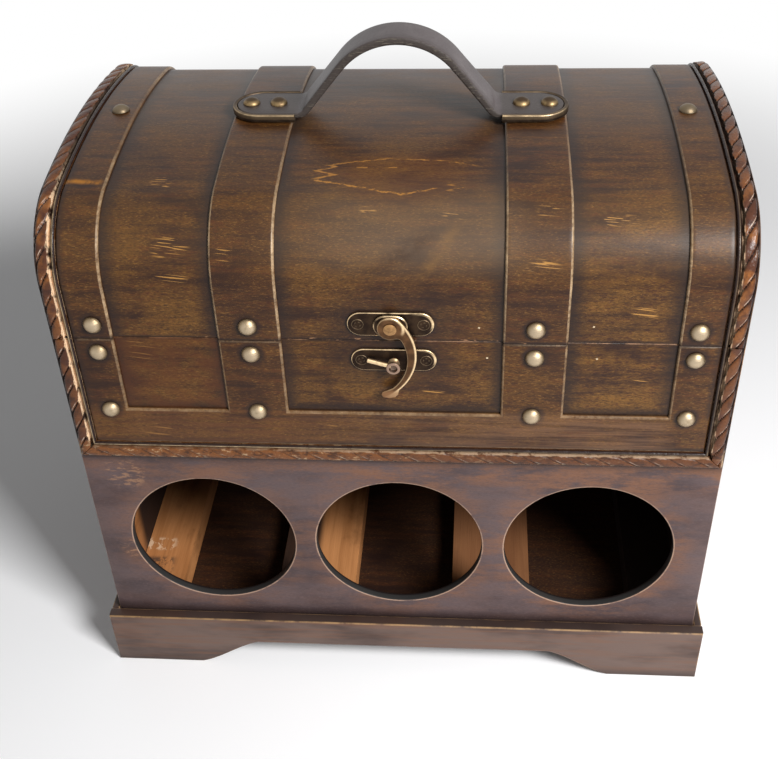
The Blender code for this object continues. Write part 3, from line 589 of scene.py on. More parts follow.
# Strap frame on the front of the case. Thin strips of the same ply with rounded edges, glued on: one along
# the bottom and four upright from it to the lid's joint. Stain pooled beside them, and handling wore their
# edges pale. Shade is painted beside them and along the lower strap's bottom edge, light on the right half
# of the lower strap, and highlights on their edges over the lid's bend.
STRAP_ROUNDING = 0.0013
END_STRAP_OUTER = 0.154
LOWER_STRAP_BOTTOM = 0.1682
NAIL_OUT = 0.1425
NAIL_IN = 0.0677
NAIL_HEIGHTS = (0.190, 0.2255, 0.2415)
FLAME_LINE = -0.0635
WORN_EDGE = (0.43, 0.30, 0.175)
PAINTED_SHEEN_GREY = (0.180, 0.130, 0.088)
STRAP_PAINTED_LIGHT = (0.190, 0.096, 0.050)
FLAME_ORANGE = (0.42, 0.16, 0.012)
STRAP_SCRATCHES = (
    (0.073, 0.294, 0.009, 0.003),
    (-0.118, 0.176, 0.016, 0.004),
    (0.143, 0.268, 0.008, 0.003),
    (0.070, 0.273, 0.012, 0.007),
    (-0.075, 0.279, 0.007, 0.005),
    (-0.036, 0.181, 0.011, 0.003),
)


def shoulder_sheen(x, z):
    """1 on the lid's front shoulder, where a grey sheen is painted, most in the middle."""
    middle = x.between(-0.07, 0.0, 0.045, 0.075)
    return z.between(0.262, 0.282, 0.2935, 0.3005) * (middle * 0.6 + x.rise(-0.08, -0.02) * 0.2 + 0.2)


def around_nails(x, z):
    """1 in the dark ring around each nail on the front."""
    return strongest(
        away(abs(x) - across, z - height).rise(0.0082, 0.0045)
        for across in (NAIL_OUT, NAIL_IN)
        for height in NAIL_HEIGHTS
    )


def strap_paint(recipe):
    point, x, y, z = recipe.place()
    out = abs(x)
    rub_noise = recipe.noise(point, (150, 70, 150), 4, 0.7)
    speck = recipe.noise(point, (700, 500, 700), 2)
    wander = recipe.noise(point, (90, 30, 30), 3, 0.6) * 0.004
    streaky = recipe.noise(point, (20, 500, 500), 4, 0.65).rise(0.30, 0.66)
    on_front = y.rise(-0.090, -0.096)
    on_lower = z.rise(0.1915, 0.1895)
    joint = near_line(z, JOINT_HEIGHT, 0.0013) * rub_noise.rise(0.60, 0.68) * on_front
    # Darker round the nails, at the joint and the end straps' outer edges; painted shadow at the strap's
    # foot.
    dirt_and_shade = around_nails(x, z) * on_front
    dirt_and_shade = dirt_and_shade.most(near_line(z, JOINT_HEIGHT, 0.0022)).most(z.rise(0.1725, 0.1690) * 0.9)
    dirt_and_shade = dirt_and_shade.most(out.rise(0.1495, 0.1535) * z.rise(0.186, 0.194) * 0.8)
    dirt_and_shade = dirt_and_shade.most(around_latch(x, z) * 0.6)
    scratch = scratches(recipe, x, y, z, STRAP_SCRATCHES)
    flame = near_line(y + wander, FLAME_LINE, 0.0026) * x.rise(-0.1345, -0.1375) * rub_noise.rise(0.30, 0.60)
    # Painted light: the lower strap is lighter toward the right.
    painted_light_right = z.rise(0.195, 0.186) * (x.rise(-0.04, 0.09) * 0.65 + 0.35) * out.rise(0.142, 0.128)
    pale = recipe.attribute("wear").rise(0.07, 0.45) * (rub_noise * 1.9 + speck * 1.1 - 0.95).held()
    pale = pale * out.rise(0.1525, 0.1500) * (1 - near_line(z, JOINT_HEIGHT, 0.0030) * 0.85)
    # Painted highlight: the pale edges brighten over the lid's bend and dim on the crown.
    bend_highlight = z.rise(0.3035, 0.292) * z.rise(0.215, 0.255)
    on_crown = z.rise(0.3012, 0.3035)
    coat = stained(recipe, point, 0.55 + on_lower * 0.45, dirt_and_shade, joint * 0.6, scratch)
    coat.cover(FLAME_ORANGE, flame * 0.8)
    coat.cover(STRAP_PAINTED_LIGHT, painted_light_right * streaky * 0.5)
    coat.cover(STAIN_RUSSET, on_lower * x.rise(0.0, -0.07) * streaky * 0.5)
    # Painted sheen on the lid's shoulder.
    coat.cover(PAINTED_SHEEN_GREY, shoulder_sheen(x, z) * y.rise(-0.03, -0.06) * 0.26)
    coat.cover(WORN_EDGE, pale * (0.42 + bend_highlight * 0.5) * (1 - on_crown * 0.45))
    return coat


strap_finish = finish("stained strap", strap_paint, SHEEN)
strap_low, strap_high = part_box("strap_lower")
strap_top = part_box("case_strap_end_left")[1].z
teeth = []
for right, left in (
    (END_STRAP_OUTER, END_STRAP_INNER),
    (MIDDLE_STRAP_OUTER, MIDDLE_STRAP_INNER),
    (-MIDDLE_STRAP_INNER, -MIDDLE_STRAP_OUTER),
    (-END_STRAP_INNER, -END_STRAP_OUTER),
):
    teeth += [(right, LOWER_STRAP_TOP), (right, strap_top), (left, strap_top), (left, LOWER_STRAP_TOP)]
comb = [(-END_STRAP_OUTER, LOWER_STRAP_BOTTOM), (END_STRAP_OUTER, LOWER_STRAP_BOTTOM), *teeth[1:-1]]
strap_back = strap_high.y + STRAP_ROUNDING
strap_mesh = cut_sheet("case_straps", [comb], facing_front, strap_low.y, strap_back, STRAP_ROUNDING, 4)
upright_straps = [f"case_strap_{kind}_{word}" for kind in ("end", "middle") for word in ("left", "right")]
case_straps = new_piece("case_straps", strap_mesh, strap_finish)
fit(case_straps, "case", "strap_wood", "strap_lower", *upright_straps)

# Rope mouldings of the case. Strips carved as a twisted rope between a plain edge and a bead, glued along
# the front under the lower strap and up both edges, and mitred at the corners. Bare wood shows in the
# deepest cuts. Glints on the lobes and a highlight along the bead are painted.
MOULDING_OUTER = 0.1642
MOULDING_WIDTH = 0.0099
MOULDING_BASE = 0.0012
MOULDING_SEAT = 0.0003
ROPE_WIDTH = 0.0068
ROPE_MARGIN = 0.0009
ROPE_RISE = 0.0032
ROPE_FLATNESS = 0.42
ROPE_TWIST = 1.35
BEAD_WIDTH = 0.0018
BEAD_RISE = 0.0023
ROPE_POINTS = 16
BEAD_POINTS = 7
CUT_SPACING = 0.0006
LOBE_LENGTH = 0.0113
LOWER_LOBE_LENGTH = 0.0122
LOBE_STRAIGHT = 0.60
MITRE_GAP = 0.0003
CARVED_ANGLE = radians(60)
CUT_DEPTH = 0.0011
LOWER_CUT_DEPTH = 0.00045
ROPE_SHEEN = 0.24
ROPE_BROWN = (0.064, 0.021, 0.0095)
ROPE_DARK = (0.014, 0.007, 0.006)
ROPE_ORANGE = (0.255, 0.092, 0.022)
ROPE_CREAM = (0.86, 0.60, 0.38)
ROPE_GLINT = (0.60, 0.46, 0.36)
BEAD_GOLD = (0.78, 0.58, 0.34)
FRONT = panel_low.y
moulding_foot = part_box("rope_moulding_lower")[0].z
case_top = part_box("rope_moulding_case_left")[1].z


def polyline(name, points, closed=False):
    """A wire of straight edges through the points."""
    edges = [(index, index + 1) for index in range(len(points) - 1)]
    if closed:
        edges.append((len(points) - 1, 0))
    mesh = bpy.data.meshes.new(name)
    mesh.from_pydata(points, edges, [])
    return new_piece(name, mesh)


def closed_section(name, points, **values):
    """A closed wire through flat points, turned counter-clockwise, with values kept on its points."""
    turns = sum(x0 * y1 - x1 * y0 for (x0, y0), (x1, y1) in zip(points, points[1:] + points[:1]))
    order = 1 if turns > 0 else -1
    section = polyline(name, [(x, y, 0) for x, y in points[::order]], closed=True)
    for label, numbers in values.items():
        kept = section.data.attributes.new(label, "FLOAT", "POINT")
        kept.data.foreach_set("value", numbers[::order])
    return section


def moulding_section(place):
    """The moulding's cut end. `place` turns a point across and above the wood into one of the section. `lies`
    runs across the rope from -1 at its outer side to 1 beside the bead. It is 3 on the bead and -3 on the
    plain sides."""
    rope_middle = ROPE_MARGIN + ROPE_WIDTH / 2
    bead_middle = MOULDING_WIDTH - BEAD_WIDTH / 2
    outline = [(0.0, 0.0, -3.0), (0.0, MOULDING_BASE - 0.0004, -3.0), (0.0001, MOULDING_BASE, -2.0)]
    for step in range(ROPE_POINTS + 1):
        turn = pi * step / ROPE_POINTS
        height = MOULDING_BASE + (ROPE_RISE - MOULDING_BASE) * abs(sin(turn)) ** ROPE_FLATNESS
        outline.append((rope_middle - ROPE_WIDTH / 2 * cos(turn), height, -cos(turn)))
    for step in range(BEAD_POINTS + 1):
        turn = pi * step / BEAD_POINTS
        height = MOULDING_BASE + (BEAD_RISE - MOULDING_BASE) * sin(turn)
        outline.append((bead_middle - BEAD_WIDTH / 2 * cos(turn), height, 3.0 - 0.4 * cos(turn)))
    outline.append((MOULDING_WIDTH, 0.0, -3.0))
    reach, heights, lies = zip(*outline)
    points = [place(across, MOULDING_SEAT + height) for across, height in zip(reach, heights)]
    return closed_section("moulding_end", points, lies=lies, reach=reach)


def upright_section(side):
    """The cut end of a moulding that runs up or over the object, on its left where `side` is -1."""
    return moulding_section(lambda across, height: (side * (MOULDING_OUTER - across), -height))


def shape_tree(name, inputs):
    """An empty tree of geometry nodes: its recipe, its start, its named inputs and their identifiers."""
    tree = bpy.data.node_groups.new(name, "GeometryNodeTree")
    tree.interface.new_socket(name="Geometry", in_out="INPUT", socket_type="NodeSocketGeometry")
    tree.interface.new_socket(name="Geometry", in_out="OUTPUT", socket_type="NodeSocketGeometry")
    identifiers = {}
    for label, kind in inputs.items():
        socket = tree.interface.new_socket(name=label, in_out="INPUT", socket_type="NodeSocket" + kind)
        identifiers[label] = socket.identifier
    recipe = Recipe(tree)
    start = recipe.node("NodeGroupInput")
    values = {label: start.other(label) for label in inputs}
    return recipe, start, values, identifiers


def close_tree(recipe, shape, material):
    """Ends a tree with a plain mesh in its own finish."""
    shape = recipe.node("GeometryNodeRealizeInstances", sockets={0: shape})
    shape = recipe.node("GeometryNodeSetMaterial", sockets={"Geometry": shape, "Material": material})
    end = recipe.tree.nodes.new("NodeGroupOutput")
    recipe.tree.links.new(shape.socket, end.inputs[0])


def grow(name, holder, tree, identifiers, inputs):
    """Runs a tree on an object and gives its plain mesh. The inputs are set before it first runs."""
    modifier = holder.modifiers.new("shape", "NODES")
    modifier.node_group = tree
    for label, value in inputs.items():
        modifier[identifiers[label]] = value
    return to_mesh(holder, name)


def keep(recipe, shape, label, field, kind="FLOAT"):
    """The shape, with a field stored on it under a name."""
    stored = {"Geometry": shape, "Name": label, "Value": field}
    return recipe.node("GeometryNodeStoreNamedAttribute", {"data_type": kind}, stored)


def kept(recipe, label, kind="FLOAT"):
    return recipe.node("GeometryNodeInputNamedAttribute", {"data_type": kind}, {"Name": label})


def scaled(recipe, vector, scale):
    return recipe.node("ShaderNodeVectorMath", {"operation": "SCALE"}, {"Vector": vector, "Scale": scale})


def moved(recipe, shape, offset):
    return recipe.node("GeometryNodeSetPosition", sockets={"Geometry": shape, "Offset": offset})


def sweep(recipe, path, section):
    """The section, drawn along the path and closed at both ends."""
    profile = recipe.node("GeometryNodeObjectInfo", sockets={"Object": section}, output="Geometry")
    profile = recipe.node("GeometryNodeMeshToCurve", sockets={0: profile})
    ends = {"Curve": path, "Profile Curve": profile, "Fill Caps": True}
    return recipe.node("GeometryNodeCurveToMesh", sockets=ends)


carving_inputs = {
    "Section": "Object",
    "Lobe length": "Float",
    "Cut depth": "Float",
    "Lean": "Float",
    "Start mitre": "Float",
    "End mitre": "Float",
    "Finish": "Material",
}
carving, wire, given, carving_ids = shape_tree("carved moulding", carving_inputs)
path = carving.node("GeometryNodeMeshToCurve", sockets={0: wire})
path = keep(carving, path, "passed", carving.node("GeometryNodeSplineParameter", output="Length"))
path = keep(carving, path, "share", carving.node("GeometryNodeSplineParameter", output="Factor"))
path = keep(carving, path, "heading", carving.node("GeometryNodeInputTangent"), "FLOAT_VECTOR")
strip = sweep(carving, path, given["Section"])
share = kept(carving, "share")
slide = kept(carving, "reach") * (given["Start mitre"] * (1 - share) - given["End mitre"] * share)
strip = moved(carving, strip, scaled(carving, kept(carving, "heading", "FLOAT_VECTOR"), slide))
lies = kept(carving, "lies")
across = lies.most(-1.0).least(1.0)
lobes_passed = (kept(carving, "passed") + slide) / given["Lobe length"]
in_lobe = (lobes_passed - given["Lean"] * (across.arcsine() / pi) * ROPE_TWIST).fraction() - 0.5
from_crest = abs(in_lobe) * 2
past_end = (abs(across + 0.1) - LOBE_STRAIGHT).most(0.0) / (1.0 - LOBE_STRAIGHT)
on_rope = abs(lies).rise(1.02, 1.0)
cut = away(from_crest, past_end).rise(0.84, 0.98) * on_rope
depth = (cut + from_crest * on_rope * 0.3) * given["Cut depth"]
inward = scaled(carving, carving.node("GeometryNodeInputNormal"), depth * -1)
strip = keep(carving, strip, "cut", cut)
strip = keep(carving, strip, "flank", in_lobe * 2)
close_tree(carving, moved(carving, strip, inward), given["Finish"])


def rope_paint(recipe):
    point, x, y, z = recipe.place()
    lies = recipe.attribute("lies")
    cut = recipe.attribute("cut")
    flank = recipe.attribute("flank")
    rub_noise = recipe.noise(point, 150, 4, 0.7)
    cloud = recipe.noise(point, 85, 3)
    grit = recipe.noise(point, 700, 3, 0.6)
    spots = recipe.noise(point, (170, 420, 420), 3, 0.7)
    on_rope = abs(lies).rise(1.3, 1.1)
    low = z.rise(0.1700, 0.1690)
    front = z.rise(0.3035, 0.295)
    left = x.rise(0.05, -0.05)
    glow = cloud.rise(0.38, 0.58) * (0.25 + front * z.rise(0.21, 0.27) * 0.6)
    glow = glow.most(low * (left * 0.32 + 0.2))
    # Painted glints: thin pale lines along one flank of each lobe.
    painted_glint = near_line(flank, -0.70, 0.10) * near_line(lies, -0.35, 0.65).rise(0.05, 0.4)
    painted_glint = painted_glint * rub_noise.rise(0.44, 0.60) * (0.25 + front * 0.5) * (1 - low * 0.3)
    bite = cut.rise(0.10, 0.34) * lies.rise(low * 0.30 + 0.36, low * 0.30 + 0.56) * on_rope
    bared = front * (left * 0.75 + 0.12) * (1 - low) + low * x.rise(-0.11, 0.02) * 0.28 + 0.06
    seam = lies.rise(0.62, 0.76) * lies.rise(2.3, 1.9) * (1 - low) * front * z.rise(0.299, 0.285)
    bare = bite * bared * rub_noise.rise(0.36, 0.52)
    bare = bare.most(seam * (left * 0.35 + 0.45) * rub_noise.rise(0.34, 0.50))
    # Painted highlight: a thin gold line along the bead's top, strongest on the left front.
    bead_highlight = near_line(lies, 2.90, 0.24) * (rub_noise * 1.8 - 0.35).held()
    lower_edge = near_line(lies, -1.6, 0.75) * low * rub_noise.rise(0.36, 0.52)
    relief = recipe.bump(rub_noise + cloud * 0.8 + grit * 0.2, 0.0005)
    coat = Coat(recipe.mix(ROPE_BROWN, ROPE_ORANGE, glow), 0.16 + rub_noise * 0.26 + cut * 0.25, relief)
    coat.cover(ROPE_DARK, rub_noise.rise(0.50, 0.66) * (0.55 - low * 0.1))
    coat.cover(ROPE_BROWN, grit.rise(0.5, 0.7) * 0.4)
    coat.cover(ROPE_DARK, spots.rise(0.54, 0.64) * low * 0.6)
    coat.cover(BEAD_GOLD, spots.rise(0.42, 0.34) * low * (left * 0.22 + 0.08))
    coat.cover(ROPE_DARK, lies.rise(-0.45, -0.95) * (0.6 - low * 0.5) * on_rope)
    coat.cover(ROPE_DARK, cut.rise(0.10, 0.6) * (0.92 - low * 0.5))
    coat.cover(ROPE_GLINT, painted_glint)
    coat.cover(ROPE_CREAM, bare * 0.9)
    coat.cover(DIRT_AND_SHADE, near_line(lies, 2.25, 0.5) * 0.9)
    coat.cover(ROPE_DARK, lies.rise(2.1, 2.5) * 0.95)
    coat.cover(BEAD_GOLD, bead_highlight * (0.06 + front * (left * 0.72 + 0.05) + low * 0.10))
    coat.cover(DIRT_AND_SHADE, lies.rise(-1.02, -1.2) * 0.9)
    coat.cover(ROPE_CREAM, lower_edge * 0.5)
    return coat


def straight_path(start, end):
    """A wire from start to end, cut finely enough for the carving."""
    start, end = Vector(start), Vector(end)
    count = ceil((end - start).length / CUT_SPACING)
    return polyline("path", [start.lerp(end, index / count) for index in range(count + 1)])


def close_form(form, mesh, angle):
    """Puts a form into a mesh, shaded smooth but for its real corners."""
    form.to_mesh(mesh)
    form.free()
    mesh.shade_smooth()
    mesh.set_sharp_from_angle(angle=angle)


def smooth_piece(name, mesh, angle=SMOOTH_ANGLE):
    """A piece from a grown mesh, shaded smooth but for its real corners."""
    form = bmesh.new()
    form.from_mesh(mesh)
    bmesh.ops.remove_doubles(form, verts=form.verts, dist=1e-7)
    bmesh.ops.recalc_face_normals(form, faces=form.faces)
    close_form(form, mesh, angle)
    return new_piece(name, mesh)


def carve(name, path, section, lobe, depth, lean, start_mitre, end_mitre):
    given = (section, lobe, depth, lean, start_mitre, end_mitre, rope_finish)
    mesh = grow(name, path, carving.tree, carving_ids, dict(zip(carving_inputs, given)))
    bpy.data.objects.remove(section)
    return smooth_piece(name, mesh, CARVED_ANGLE)


rope_finish = finish("carved rope", rope_paint, ROPE_SHEEN)
for side, word in ((-1, "left"), (1, "right")):
    section = upright_section(side)
    path = straight_path((0.0, FRONT, moulding_foot + MITRE_GAP), (0.0, FRONT, case_top))
    rope = carve("case_rope_" + word, path, section, LOBE_LENGTH, CUT_DEPTH, -side, 1.0, 0.0)
    fit(rope, "case", "rope_wood", "rope_moulding_case_" + word)
section = moulding_section(lambda across, height: (height, -across))
path = straight_path((-MOULDING_OUTER, FRONT, moulding_foot), (MOULDING_OUTER, FRONT, moulding_foot))
rope = carve("case_rope_lower", path, section, LOWER_LOBE_LENGTH, LOWER_CUT_DEPTH, -1, 1.0, 1.0)
fit(rope, "case", "rope_wood", "rope_moulding_lower")

# Lid. One sheet of thin ply bent up the front, over a rounded shoulder and a shallow crown and down the
# back, glued to two end boards. The stain is rubbed back most in the middle, where the veneer shows
# flame-shaped rings. A sheen on the shoulder and the crown, streaks of shimmer and more gold to the front
# right are painted light.
SHOULDER_RADIUS = 0.036
CROWN_RADIUS = 0.388
BEND_SPACING = 0.002
EDGE_STEPS = 4
SHELL_THICKNESS = 0.004
KNOT_X = 0.0045
KNOT_Y = -0.058
KNOT_TOP = -0.0440
KNOT_BOTTOM = -0.0710
KNOT_GOLD = (0.46, 0.205, 0.040)
LID_SCRATCHES = (
    (-0.101, 0.280, 0.013, 0.007),
    (-0.101, 0.267, 0.011, 0.005),
    (-0.109, 0.2977, 0.008, 0.0012),
    (0.103, 0.2905, 0.013, 0.0026),
    (0.117, 0.2500, 0.009, 0.006),
    (0.030, 0.2918, 0.009, 0.0020),
    (-0.010, 0.2930, 0.006, 0.0014),
)
LID_END_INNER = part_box("lid_end_right")[0].x
shell_low, shell_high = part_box("lid_shell")


def over_lid(spacing):
    """A wire up the front of the lid, over its crown and down the back, on the outside of the shell."""
    inset = shell_high.y - SHOULDER_RADIUS
    reach = CROWN_RADIUS - SHOULDER_RADIUS
    crown_centre = shell_high.z - CROWN_RADIUS
    shoulder = crown_centre + sqrt(reach ** 2 - inset ** 2)
    tilt = degrees(asin(inset / reach))
    wall = shoulder - shell_low.z
    wall_steps = ceil(wall / spacing)
    bend_steps = ceil(SHOULDER_RADIUS * radians(90 - tilt) / spacing)
    crown_steps = ceil(CROWN_RADIUS * radians(2 * tilt) / spacing)
    front = [(-shell_high.y, shell_low.z + wall * step / wall_steps) for step in range(wall_steps)]
    front += arc((-inset, shoulder), SHOULDER_RADIUS, 180, 90 + tilt, bend_steps)
    crown = arc((0.0, crown_centre), CROWN_RADIUS, 90 + tilt, 90 - tilt, crown_steps)[1:-1]
    back = [(-y, z) for y, z in reversed(front)]
    return polyline("over_lid", [(0.0, y, z) for y, z in front + crown + back])


bending, wire, given, bending_ids = shape_tree("bent strip", {"Section": "Object", "Finish": "Material"})
path = bending.node("GeometryNodeMeshToCurve", sockets={0: wire})
close_tree(bending, sweep(bending, path, given["Section"]), given["Finish"])


def bend_strip(name, left, right, low, high, rounding, material):
    """A strip bent over the lid, from `low` to `high` above the shell, with its two outer edges rounded."""
    right_edge = arc((right - rounding, high - rounding), rounding, 0, 90, EDGE_STEPS)
    left_edge = arc((left + rounding, high - rounding), rounding, 90, 180, EDGE_STEPS)
    edge_wear = [sin(radians(2 * (90 * step / EDGE_STEPS))) for step in range(EDGE_STEPS + 1)]
    outline = [(right, low), *right_edge, (right - 2 * rounding, high)]
    outline += [(left + 2 * rounding, high), *left_edge, (left, low)]
    wear = [0.0, *edge_wear, 0.0, 0.0, *edge_wear, 0.0]
    inside = [1.0] + [0.0] * (len(outline) - 2) + [1.0]
    section = closed_section("strip_end", [(x, -height) for x, height in outline], wear=wear, inside=inside)
    inputs = {"Section": section, "Finish": material}
    mesh = grow(name, over_lid(BEND_SPACING), bending.tree, bending_ids, inputs)
    bpy.data.objects.remove(section)
    return smooth_piece(name, mesh)


def folded(across, along, left, low, width, period):
    """How far a point is to the side of a line that zigzags across the grain."""
    share = abs(((along - low) / period).fraction() - 0.5) * -2 + 1
    return abs(across - (share * width + left))


def knot_lines(recipe, point, x, y):
    """Thin golden lines round a long lens-shaped figure in the veneer, folded into a zigzag at both ends."""
    wander = (recipe.noise(point, (150, 120, 120), 4, 0.75) - 0.5) * 0.0045
    breaks = recipe.noise(point, (150, 380, 380), 3, 0.65).rise(0.42, 0.54)
    off = x - KNOT_X
    upper = near_line(y + wander, off * off * -4.5 + KNOT_TOP, 0.0008)
    upper = upper * x.rise(-0.034, -0.028) * x.rise(0.044, 0.034)
    lower = near_line(y + wander, abs(off) * 0.25 + KNOT_BOTTOM, 0.0010)
    lower = lower * x.rise(-0.037, -0.036) * x.rise(0.024, 0.018)
    left_end = folded(x + wander, y, -0.0365, -0.0600, 0.0090, 0.0064).rise(0.0026, 0.0008)
    left_end = left_end * y.rise(-0.0605, -0.0595) * y.rise(-0.0485, -0.0495)
    right_end = folded(x + wander, y, 0.0265, -0.0680, 0.0055, 0.0040).rise(0.0022, 0.0006)
    right_end = right_end * y.rise(-0.0690, -0.0680) * y.rise(-0.0630, -0.0640)
    dashes = near_line(y, -0.0510, 0.0007) * near_line(abs(x + 0.0078), 0.0070, 0.0036).rise(0.1, 0.3)
    drawn = (upper * 0.8).most(lower).most(dashes * 0.8) * (breaks * 0.94 + 0.06)
    return drawn.most(left_end * (breaks * 0.7 + 0.1)).most(right_end * breaks * 0.6)


def lid_paint(recipe):
    point, x, y, z = recipe.place()
    rub_noise = recipe.noise(point, (80, 120, 120), 4, 0.7)
    broad = recipe.noise(point, (7, 9, 9), 2)
    on_top = z.rise(0.285, 0.292)
    toward_front = y.rise(-0.03, -0.06)
    joint = z.rise(JOINT_HEIGHT + 0.0013, JOINT_HEIGHT + 0.0005) * rub_noise.rise(0.58, 0.66)
    dirt_and_shade = strap_pool_and_shade(x).most(z.rise(JOINT_HEIGHT + 0.002, JOINT_HEIGHT))
    dirt_and_shade = dirt_and_shade.most(broad.rise(0.56, 0.70) * 0.35).most(around_latch(x, z) * y.rise(-0.090, -0.097))
    gold_rub_and_light = broad.rise(0.30, 0.60) * z.rise(0.3035, 0.285) * 0.5
    # More gold on the lid's lower front toward the right: painted light.
    gold_rub_and_light = gold_rub_and_light + x.rise(0.0, 0.06) * z.rise(0.275, 0.262) * 0.45 + 0.5
    golden = away(x * 0.55, y - KNOT_Y).rise(0.030, 0.008) * on_top
    scratch = scratches(recipe, x, y, z, LID_SCRATCHES) * y.rise(-0.04, -0.05)
    on_middle = x.rise(-0.030, -0.018) * x.rise(0.042, 0.030) * toward_front
    # Painted sheen: a light diagonal streak and a dark one beside it, the shimmer of the figured veneer.
    painted_sheen_streak = near_line(z - x * 1.2, 0.2520, 0.0075) * z.rise(0.262, 0.270) * z.rise(0.293, 0.284)
    painted_dark_streak = near_line(z - x * 0.6, 0.2748, 0.0070) * z.rise(0.262, 0.268) * z.rise(0.290, 0.280)
    # Painted sheen: a grey haze on the front shoulder and a fainter one on the crown.
    painted_sheen = shoulder_sheen(x, z) * toward_front * 0.34
    painted_sheen = painted_sheen + y.rise(-0.035, 0.0) * y.rise(0.07, 0.04) * on_top * 0.12
    ground = away((x - KNOT_X) * 0.6, y - KNOT_Y).rise(0.026, 0.012) * on_top
    coat = stained(recipe, point, gold_rub_and_light + golden * 0.9, dirt_and_shade, joint * 0.5, scratch)
    coat.cover(PAINTED_SHEEN_GREY, painted_sheen)
    coat.cover(STAIN_LIGHT, painted_sheen_streak * on_middle * rub_noise.rise(0.30, 0.65) * 0.22)
    coat.cover(STAIN_DEEP, painted_dark_streak * on_middle * rub_noise.rise(0.70, 0.35) * 0.5)
    coat.cover(STAIN_RUSSET, ground * 0.3)
    coat.cover(KNOT_GOLD, knot_lines(recipe, point, x, y) * on_top * 0.75)
    wood, fibre = bare_wood(recipe, recipe.point(y, x, z))
    return leave_bare(coat, wood.cover(STAIN_LIGHT, 0.45), recipe.attribute("inside").rise(0.9, 1.0))


def lid_end_paint(recipe):
    point, x, y, z = recipe.place()
    dirt_and_shade = z.rise(0.240, 0.2335) * 0.6
    coat = stained(recipe, recipe.point(y, x, z), z.rise(0.24, 0.28) * 0.5 + 0.25, dirt_and_shade, 0.0)
    wood, fibre = bare_wood(recipe, point)
    return leave_bare(coat, wood, abs(x).rise(LID_END_INNER + 0.0012, LID_END_INNER + 0.0006))


lid_finish = finish("stained lid", lid_paint, SHEEN)
shell = bend_strip("lid_sheet", shell_low.x, shell_high.x, -SHELL_THICKNESS, 0.0, PANEL_ROUNDING, lid_finish)
fit(shell, "lid", "stained_ply", "lid_shell")
dress(finish("stained lid end", lid_end_paint, SHEEN), "lid_end_left", "lid_end_right")

# Lid straps and lid mouldings. The same strips as on the case, steamed and bent over the lid from its front
# edge to its back edge, so that they carry on the lines of the ones below.
STRAP_RISE = 0.0018
for side, word in ((-1, "left"), (1, "right")):
    for kind, inner, outer in (
        ("middle", MIDDLE_STRAP_INNER, MIDDLE_STRAP_OUTER),
        ("end", END_STRAP_INNER, END_STRAP_OUTER),
    ):
        left, right = sorted((side * inner, side * outer))
        name = f"lid_{kind}_strap_{word}"
        strap = bend_strip(name, left, right, 0.0, STRAP_RISE, STRAP_ROUNDING, strap_finish)
        fit(strap, "lid", "strap_wood", f"lid_strap_{kind}_{word}")
    section = upright_section(side)
    rope = carve("lid_rope_" + word, over_lid(CUT_SPACING), section, LOBE_LENGTH, CUT_DEPTH, -side, 0.0, 0.0)
    fit(rope, "lid", "rope_wood", "rope_moulding_lid_" + word)

# Dome-headed nails. Pale brushed brass heads on short shanks, driven through the straps: in the case, in a
# row near the lid's edge, and one at each end of the crown. Each sits a little crooked, and the strap is
# darkened in a ring round it.
NAIL_RADIUS = 0.0045
NAIL_RIM = 0.0004
NAIL_RISE = 0.0026
NAIL_SKIRT = 0.0003
NAIL_TILT = radians(4)
NAIL_SEED = 4
HEAD_SIDES = 32
HEAD_RINGS = 8
HEAD_ANGLE = radians(50)
NAIL_PALE = (0.45, 0.355, 0.24)
NAIL_TARNISH = (0.20, 0.14, 0.075)
NAIL_DULL = (0.125, 0.095, 0.062)
FORWARD = (0.0, -1.0, 0.0)
UPWARD = (0.0, 0.0, 1.0)


def bridge(form, rings):
    """Faces between each ring of points and the next, which may be the one point in the middle."""
    for lower, upper in zip(rings, rings[1:]):
        for index in range(len(lower)):
            after = (index + 1) % len(lower)
            over = (upper[after], upper[index]) if len(upper) > 1 else upper
            form.faces.new((lower[index], lower[after], *over))


def head(name, radius, sides, heights, skirt):
    """A round head over a short skirt: `heights` are rings (share of the radius, height), from the rim
    inwards.
    """
    form = bmesh.new()
    from_middle = form.verts.layers.float.new("from_middle")
    rings = []
    for share, height in [(1.0, -skirt), *heights]:
        points = circle((0.0, 0.0), radius * share, sides) if share else [(0.0, 0.0)]
        ring = [form.verts.new((a, b, height)) for a, b in points]
        for vertex in ring:
            vertex[from_middle] = share
        rings.append(ring)
    form.faces.new(rings[0][::-1])
    bridge(form, rings)
    mesh = bpy.data.meshes.new(name)
    close_form(form, mesh, HEAD_ANGLE)
    return new_piece(name, mesh)


def dome(radius, rim, rise, rings):
    """Rings of a spherical head over an upright rim."""
    ball = (radius ** 2 + rise ** 2) / (2 * rise)
    shares = [1 - step / rings for step in range(rings + 1)]
    return [(share, rim + sqrt(ball ** 2 - (radius * share) ** 2) - ball + rise) for share in shares]


head_inputs = {"Head": "Object", "Tilt": "Vector", "Seed": "Int", "Finish": "Material"}
driving, wire, given, driving_ids = shape_tree("driven heads", head_inputs)
outward = {"Vector": kept(driving, "outward", "FLOAT_VECTOR")}
upright = driving.node("FunctionNodeAlignRotationToVector", {"axis": "Z"}, outward)
limits = {"Min": scaled(driving, given["Tilt"], -1.0), "Max": given["Tilt"], "Seed": given["Seed"]}
lean = driving.node("FunctionNodeRandomValue", {"data_type": "FLOAT_VECTOR"}, limits)
lean = driving.node("FunctionNodeEulerToRotation", sockets={0: lean})
crooked = driving.node("FunctionNodeRotateRotation", {"rotation_space": "LOCAL"}, {0: upright, 1: lean})
shape = driving.node("GeometryNodeObjectInfo", sockets={"Object": given["Head"]}, output="Geometry")
points = driving.node("GeometryNodeMeshToPoints", sockets={0: wire})
scatter = {"Points": points, "Instance": shape, "Rotation": crooked}
